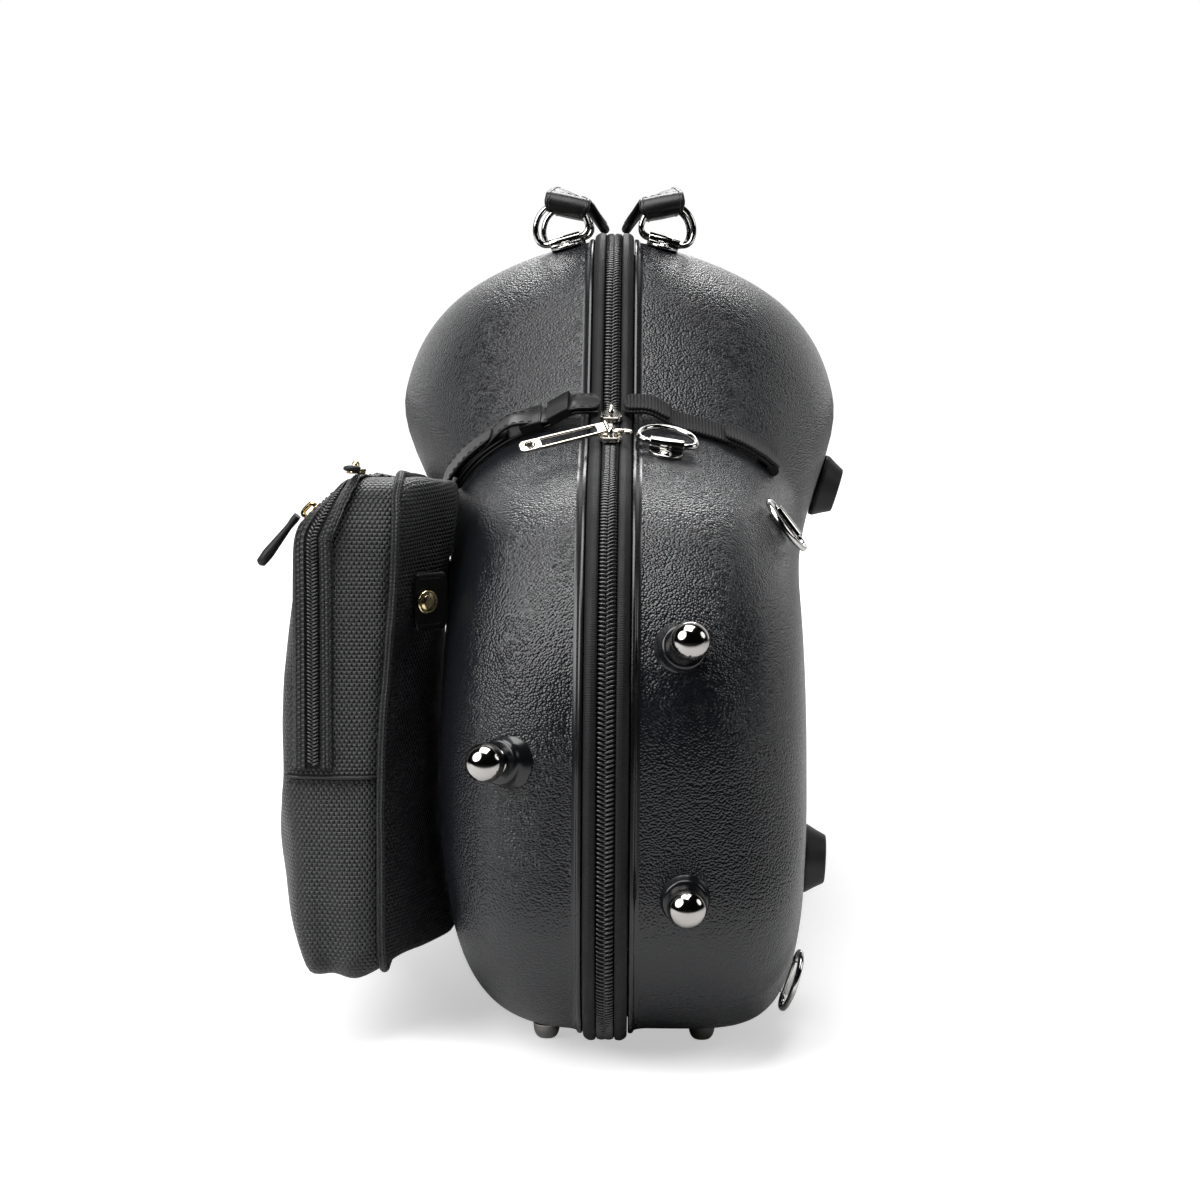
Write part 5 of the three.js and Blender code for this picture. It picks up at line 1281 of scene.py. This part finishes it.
def order_edges(edges):
    """The longest chain of the edges, as points in millimetres."""
    links = {}
    for e in edges:
        a, b = e.verts
        links.setdefault(a, []).append(b)
        links.setdefault(b, []).append(a)
    best, seen = [], set()
    for start in sorted(links, key=lambda v: (len(links[v]), v.index)):
        if start in seen:
            continue
        chain, here = [start], start
        seen.add(start)
        while True:
            ahead = [v for v in links[here] if v not in seen]
            if not ahead:
                break
            here = ahead[0]
            seen.add(here)
            chain.append(here)
        if len(chain) > len(best):
            best = chain
    return np.array([v.co for v in best]) * 1000


def on_skin(points):
    """Points and normals on the pocket's skin, seen from its middle."""
    out, normals = [], []
    c = Vector(POCKET_MIDDLE) / 1000
    for p in points:
        d = (Vector(p) / 1000 - c).normalized()
        hit, n, _, _ = skin_tree.ray_cast(c, d)
        if hit is None:
            out.append(np.array(p))
            normals.append(np.array(d))
            continue
        out.append(np.array(hit) * 1000)
        normals.append(np.array(n if n.dot(d) > 0 else -n))
    return np.array(out), np.array(normals)


skin_tree, cut_line = make_pocket()
SMALL_TOOTH = TOOTH * arr(.62, .8, .55) + arr(0, 0, -.35)
# Of each zip: the end of its tape's profile, the cloth folded over the tape, and the stitches' place
WIDE_ZIP = ([(4.6, .85), (5.2, .3), (5.2, -.6)],
            [(3.0, .2), (2.9, 1.35), (4.2, 1.75), (7.4, 1.35), (8.6, .0), (8.4, -.8)], (6.9, 1.5))
NARROW_ZIP = ([(4.4, .8), (5, .3), (5, -.6)],
              [(3.0, .2), (2.9, 1.2), (4.2, 1.5), (6.2, 1.1), (7.2, -.1), (7, -.8)], (5.8, 1.25))


def zip_half(piece, rails, tape_rails, sign, profiles):
    """One half of a small zip: teeth, tape, folded cloth and stitches along (points, tangent, across, up)."""
    s = lengths(rails[0])
    t = np.arange(2, s[-1] - 2, 1.5) + (0 if sign > 0 else .75)
    p, tangent, across, up = [sample(rail, s, t) for rail in rails]
    piece.add(teeth(p, tangent, across * sign, unit(up), SMALL_TOOTH, .36))
    p, tangent, across, up = tape_rails
    tape_end, fold, (out, high) = profiles
    piece.add(*sweep(p, across * sign, up, [(.15, -.6), (.15, .4), (1.2, .75)] + tape_end), mat=1)
    piece.add(*sweep(p, across * sign, up, rounded(fold, .5, 4)), mat=2)
    piece.add(stitches(p + across * sign * out + up * high, up, 2.2, 1.1, .24), mat=3)


def zip_rails(path, normals):
    tangent = unit(np.gradient(path, axis=0))
    return path, tangent, unit(np.cross(tangent, normals)), normals


def zip_piece(name, node):
    return Piece(name, node, "coil tape nylon thread", "coil", 60)


def over_front(x, start, end, height, count):
    """Points near the skin along the front at a height given at its near end."""
    return arr(*[(x, start + (end - start) * t, taper_z(start + (end - start) * t, height))
                 for t in np.linspace(0, 1, count)])


def trim_pocket():
    """Piping, zips, folds and seams on the pocket's skin."""
    line, normals = on_skin(even(seam_lines(), 420))
    line = calm(line, 4)
    welt = Piece("pocket_piping", "pocket_body", "piping nylon", "nylon", 80)
    welt.add(tube(line + normals * 1.1, 2.0, 12, up=(1, 0, 0)),
             uv_rows(lengths(line), np.linspace(0, 12, 12)))
    welt.put(stands=False)

    # The zip's path: the part of the cut that runs up the near face, over the top and down the far face
    zn = untaper_z(cut_line[:, 1], cut_line[:, 2])
    top = cut_line[zn > FLAP_Z + 1.2]
    order = top if top[0, 1] < top[-1, 1] else top[::-1]
    jump = np.linalg.norm(np.diff(order, axis=0), axis=1)
    if jump.max() > 30:
        k = int(jump.argmax()) + 1
        order = np.vstack([order[k:], order[:k]])
        order = order if order[0, 1] < order[-1, 1] else order[::-1]
    path, normals = on_skin(even(calm(order, 6), 900))
    rails = path, _, across, _ = zip_rails(calm(path, 6), unit(calm(normals, 12)))
    s = lengths(path)
    body_side = 1 if split_value(path[450:451] + across[450:451] * 4)[0] < 0 else -1
    tape_rails = [sample(rail, s, np.linspace(0, s[-1], 460)) for rail in rails]
    for sign, node, part in ((body_side, "pocket_body", "bag"), (-body_side, "pocket_front", "flap")):
        piece = zip_piece("pocket_zip_" + part, node)
        zip_half(piece, rails, tape_rails, sign, WIDE_ZIP)
        piece.put(stands=False, recalc=False)

    # Seams across the near face and the far face, at the zip's feet
    seams = Piece("pocket_seams", "pocket_body", "piping thread", "nylon", 80)
    for y in (POCKET_NEAR, POCKET_FAR):
        p, n = on_skin(arr(*[(x, y, taper_z(y, FLAP_Z) - 1.5) for x in np.linspace(-133, -94, 40)]))
        p = calm(p, 3)
        seams.add(tube(p + n * .2, .9, 8, squash=.8))
        seams.add(stitches(p + n * .35 + arr(0, 0, -2.6), n, 2.2, 1.1, .24), mat=1)
    seams.put(stands=False)

    # Zip of the compartment in the front
    p, n = on_skin(over_front(-121.3, 56, 318, 226, 240))
    rails = zip_rails(calm(p, 8), unit(calm(n, 12)))
    piece = zip_piece("front_compartment_zip", "pocket_front")
    for sign in (1, -1):
        zip_half(piece, rails, rails, sign, NARROW_ZIP)
    piece.put(stands=False, recalc=False)

    # Seam over the front, below that zip
    p, n = on_skin(over_front(-131, 52, 322, 214, 160))
    lines = Piece("pocket_front_seam", "pocket_front", "piping thread", "nylon", 80)
    lines.add(tube(calm(p, 6) + n * .1, .9, 8)).put(stands=False)


trim_pocket()


def zipper_pull(length, width, thick):
    """A moulded rubber pull along +X: a narrow neck and a swollen end."""
    x = np.linspace(0, length, 26)
    w = np.interp(x, [0, 2, 6, length * .55, length - 3.5, length - 1, length],
                  [width * .34, width * .36, width * .34, width * .42, width * .5, width * .4, width * .12])
    h = np.interp(x, [0, 2, 6, length * .78, length - 1, length],
                  [thick * .34, thick * .36, thick * .3, thick * .52, thick * .44, thick * .15])
    a = circle(20)
    ce, se = np.cos(a), np.sin(a)
    pts = np.stack([np.broadcast_to(x[:, None], (26, 20)),
                    thick / 2 + h[:, None] * np.sign(se) * np.abs(se) ** .8,
                    w[:, None] * np.sign(ce) * np.abs(ce) ** .8], -1)
    return grid(pts, wrap_v=True, caps=True)


def make_pocket_hardware():
    hardware("pocket_slider_metal", "pocket_slider", "gold", slider_shapes(4.2, 10.5, 2.0, 6.5, 2.6),
             (-90.3904, -311.4324, 240.1), (1, 0, 0), (0, .0995, .995), (0, -.995, .0995))
    hardware("pocket_pull_rubber", "pocket_pull", "rubber", [zipper_pull(16, 7.4, 2.6)],
             (-90.3904, -317.1439, 241.2741), (0, -.995, .0995), (0, .0995, .995), (-1, 0, 0), sharp=60)
    hardware("front_slider_metal", "front_slider", "gold", slider_shapes(3.8, 9, 1.6, 6, 2.4),
             (-106.7942, -324.4324, 224.2958), (0, 1, 0), (-.746, 0, .666), (.666, 0, .746))
    hardware("front_pull_rubber", "front_pull", "rubber", [zipper_pull(26, 10.5, 4.8)],
             (-111.5574, -324.4324, 222.1136), (-.6123, 0, -.7906), (-.7906, 0, .6123), (0, 1, 0), sharp=60)
    snap = [(.01, 0), (5.0, 0), (5.1, .5), (4.8, 1.0), (4.2, 1.2), (3.8, 1.0), (3.4, 1.3), (2.8, 1.9),
            (1.5, 2.15), (.01, 2.2)]
    hardware("pocket_snap_metal", "pocket_snap", "gold", [lathe(rounded(snap, .35, 4), 44)],
             (-59.6349, -324.6937, 188), (-.7703, -.6377, 0), (.6377, -.7703, 0), (0, 0, 1), sharp=50)


make_pocket_hardware()


def tab_line(plan):
    """The middle line of a strip, in no order, from its corners seen from above in pairs."""
    used = np.zeros(len(plan), bool)
    middles = []
    while not used.all():
        free = np.where(~used)[0]
        i = free[np.linalg.norm(plan[free] - middles[-1], axis=1).argmin()] if middles else free[0]
        d = np.linalg.norm(plan - plan[i], axis=1)
        d[used] = 1e9
        d[i] = 1e9
        j = int(d.argmin()) if (d < 1e8).any() else i
        used[i] = used[j] = True
        middles.append((plan[i] + plan[j]) / 2)
    return arr(*middles)


def make_tabs():
    """Leather tabs rebuilt from their CAD nodes' rows."""
    count, columns = 26, 11
    for node, cut_at in (("pocket_tab_near", .5), ("pocket_tab_far", .2)):
        at_far_end = node.endswith("far")
        co = np.array([v.co for v in frame["nodes"][node].data.vertices]) * 1000 - SHIFT
        z = sorted({round(q, 2) for q in co[:, 2]})
        low, high = z[0], z[-1]
        line = tab_line(np.unique(np.round(co[np.abs(co[:, 2] - low) < .5][:, :2], 2), axis=0))
        key = line[:, 1] - line[:, 0] if at_far_end else line[:, 1]
        line = spline(line[np.argsort(key)], count)
        line = even(line[int(cut_at * count):], count)
        step = unit(np.gradient(line, axis=0))
        out = np.c_[step[:, 1], -step[:, 0]]
        if out[:, 0 if at_far_end else 1].mean() > 0:
            out = -out
        rows = np.stack([np.c_[line - out * 1.2, np.full(count, mix(low, high, t))]
                         for t in np.linspace(0, 1, columns)], 1)
        normals = np.repeat(np.c_[out, np.zeros(count)][:, None], columns, 1)
        piece = Piece(node + "_leather", node, "leather thread", "leather", 60)
        piece.add(*band(taper(rows, .35, .35, .12), normals, 2.4))
        edge_stitches(piece, rows, normals, 2.4)
        piece.put()


make_tabs()


# ---------------------------------------------------------------- cradles
def make_cradles():
    """The CAD cradles with rounded edges and a slightly uneven surface."""
    for node in ("bow_cradle", "neck_cradle"):
        mesh = frame["nodes"][node].data.copy()
        o = linked(node + "_plush", mesh)
        bm = bmesh.new()
        bm.from_mesh(mesh)
        bmesh.ops.remove_doubles(bm, verts=bm.verts, dist=1e-5)
        bmesh.ops.dissolve_limit(bm, angle_limit=.02, verts=bm.verts, edges=bm.edges)
        sharp = [e for e in bm.edges if len(e.link_faces) == 2 and e.calc_face_angle(0) > .9]
        bmesh.ops.bevel(bm, geom=sharp, offset=.0032, segments=4, affect="EDGES", profile=.5)
        bmesh.ops.triangulate(bm, faces=bm.faces)
        long_edges = [e for e in bm.edges if e.calc_length() > .012]
        bmesh.ops.subdivide_edges(bm, edges=long_edges, cuts=3, use_grid_fill=True)
        bm.normal_update()
        for v in bm.verts:
            q = v.co * 1000
            v.co -= v.normal * (.0003 + .0003 * math.sin(q.x / 7 + q.z / 9) * math.sin(q.y / 6 + q.z / 13))
        bm.to_mesh(mesh)
        bm.free()
        mesh.materials.clear()
        mesh.materials.append(MAT["plush"])
        shade(mesh, 60)
        settle(o, node)


make_cradles()


# ---------------------------------------------------------------- stage, lights and camera
FLOOR_GLOW, FILL, BACKDROP = .5, .08, (.42, .8, .003, 1.0)
WHITE = (1, 1, 1, 1)


def area(name, at, target, power, size, size_y=None):
    """An area lamp: a rectangle, or a disc where it has one size."""
    light = bpy.data.lights.new(name, "AREA")
    light.energy, light.size, light.shape = power, size, "RECTANGLE" if size_y else "DISK"
    if size_y:
        light.size_y = size_y
    o = linked(name, light)
    o.location = at
    o.rotation_euler = (Vector(target) - Vector(at)).to_track_quat("-Z", "Y").to_euler()


def make_floor():
    """White paper that glows to white towards its edge and in front, for the camera only."""
    mesh = bpy.data.meshes.new("floor")
    mesh.from_pydata([(9 * math.cos(t), 9 * math.sin(t), 0) for t in circle(96)], [], [list(range(96))])
    floor = linked("floor", mesh)
    k = Look("floor_paper", (.80, .80, .80), .9, spec=.1)
    k.bump(k.noise(40, 3), .1, .1)
    t = k.t
    front = k.ramp(k.node("SeparateXYZ", Vector=k.space()).outputs[1], -.9, -.58, 1, 0)
    k.tint(front, (.02, .02, .02))
    far = k.node("VectorMath", operation="LENGTH")
    t.links.new(k.space(), far.inputs[0])
    edge = k.m("MAXIMUM", k.ramp(far.outputs["Value"], .7, 1.5), front)
    level = k.ramp(edge, 0, 1, FLOOR_GLOW, 1.1)
    seen = k.node("LightPath").outputs["Is Camera Ray"]
    glow = k.node("Emission", Color=WHITE, Strength=k.m("MULTIPLY", seen, level))
    both = k.node("AddShader")
    t.links.new(k.b.outputs[0], both.inputs[0])
    t.links.new(glow.outputs[0], both.inputs[1])
    t.links.new(both.outputs[0], t.nodes["Material Output"].inputs["Surface"])
    mesh.materials.append(k.mat)


def make_world():
    """White for the camera, a backdrop that gets brighter behind for reflections, and a weak fill."""
    world = bpy.data.worlds.new("studio")
    bpy.context.scene.world = world
    world.use_nodes = True
    k = Look.__new__(Look)
    k.t = world.node_tree
    k.t.nodes.clear()
    rays = k.node("LightPath").outputs
    way = k.node("SeparateXYZ", Vector=k.node("TexCoord").outputs["Generated"]).outputs
    seen = k.m("MAXIMUM", rays["Is Camera Ray"], rays["Is Transmission Ray"])
    gloss = k.m("MULTIPLY", rays["Is Glossy Ray"], k.ramp(way[1], *BACKDROP))
    rest = k.m("SUBTRACT", 1.0, k.m("MAXIMUM", seen, rays["Is Glossy Ray"]))
    strength = k.m("ADD", k.m("MAXIMUM", seen, gloss), k.m("MULTIPLY", rest, FILL))
    light = k.node("Background", Color=WHITE, Strength=strength)
    k.t.links.new(light.outputs[0], k.node("OutputWorld").inputs[0])


make_floor()
make_world()
area("left_box", (-.98, -.95, .98), (0, -.25, .17), 24, 1.25)
area("top_box", (-.08, -.36, 1.4), (0, -.15, .1), 19, .9, .95)
area("back_box", (0, 1.55, 1.35), (0, -.1, .25), 15, 1.0, .6)
area("right_box", (1.5, -.3, .9), (0, -.1, .2), 4, .8)


def make_camera():
    """The camera of the photo."""
    data = bpy.data.cameras.new("camera")
    data.sensor_width, data.lens = 36, 94.906
    data.clip_start, data.clip_end = .05, 50
    cam = linked("camera", data)
    cam.location = (.02648, -1.62798, .35259)
    cam.rotation_euler = (1.44628, -.007135, .0118885)
    bpy.context.scene.camera = cam


make_camera()
bpy.context.scene.view_settings.view_transform = "Standard"
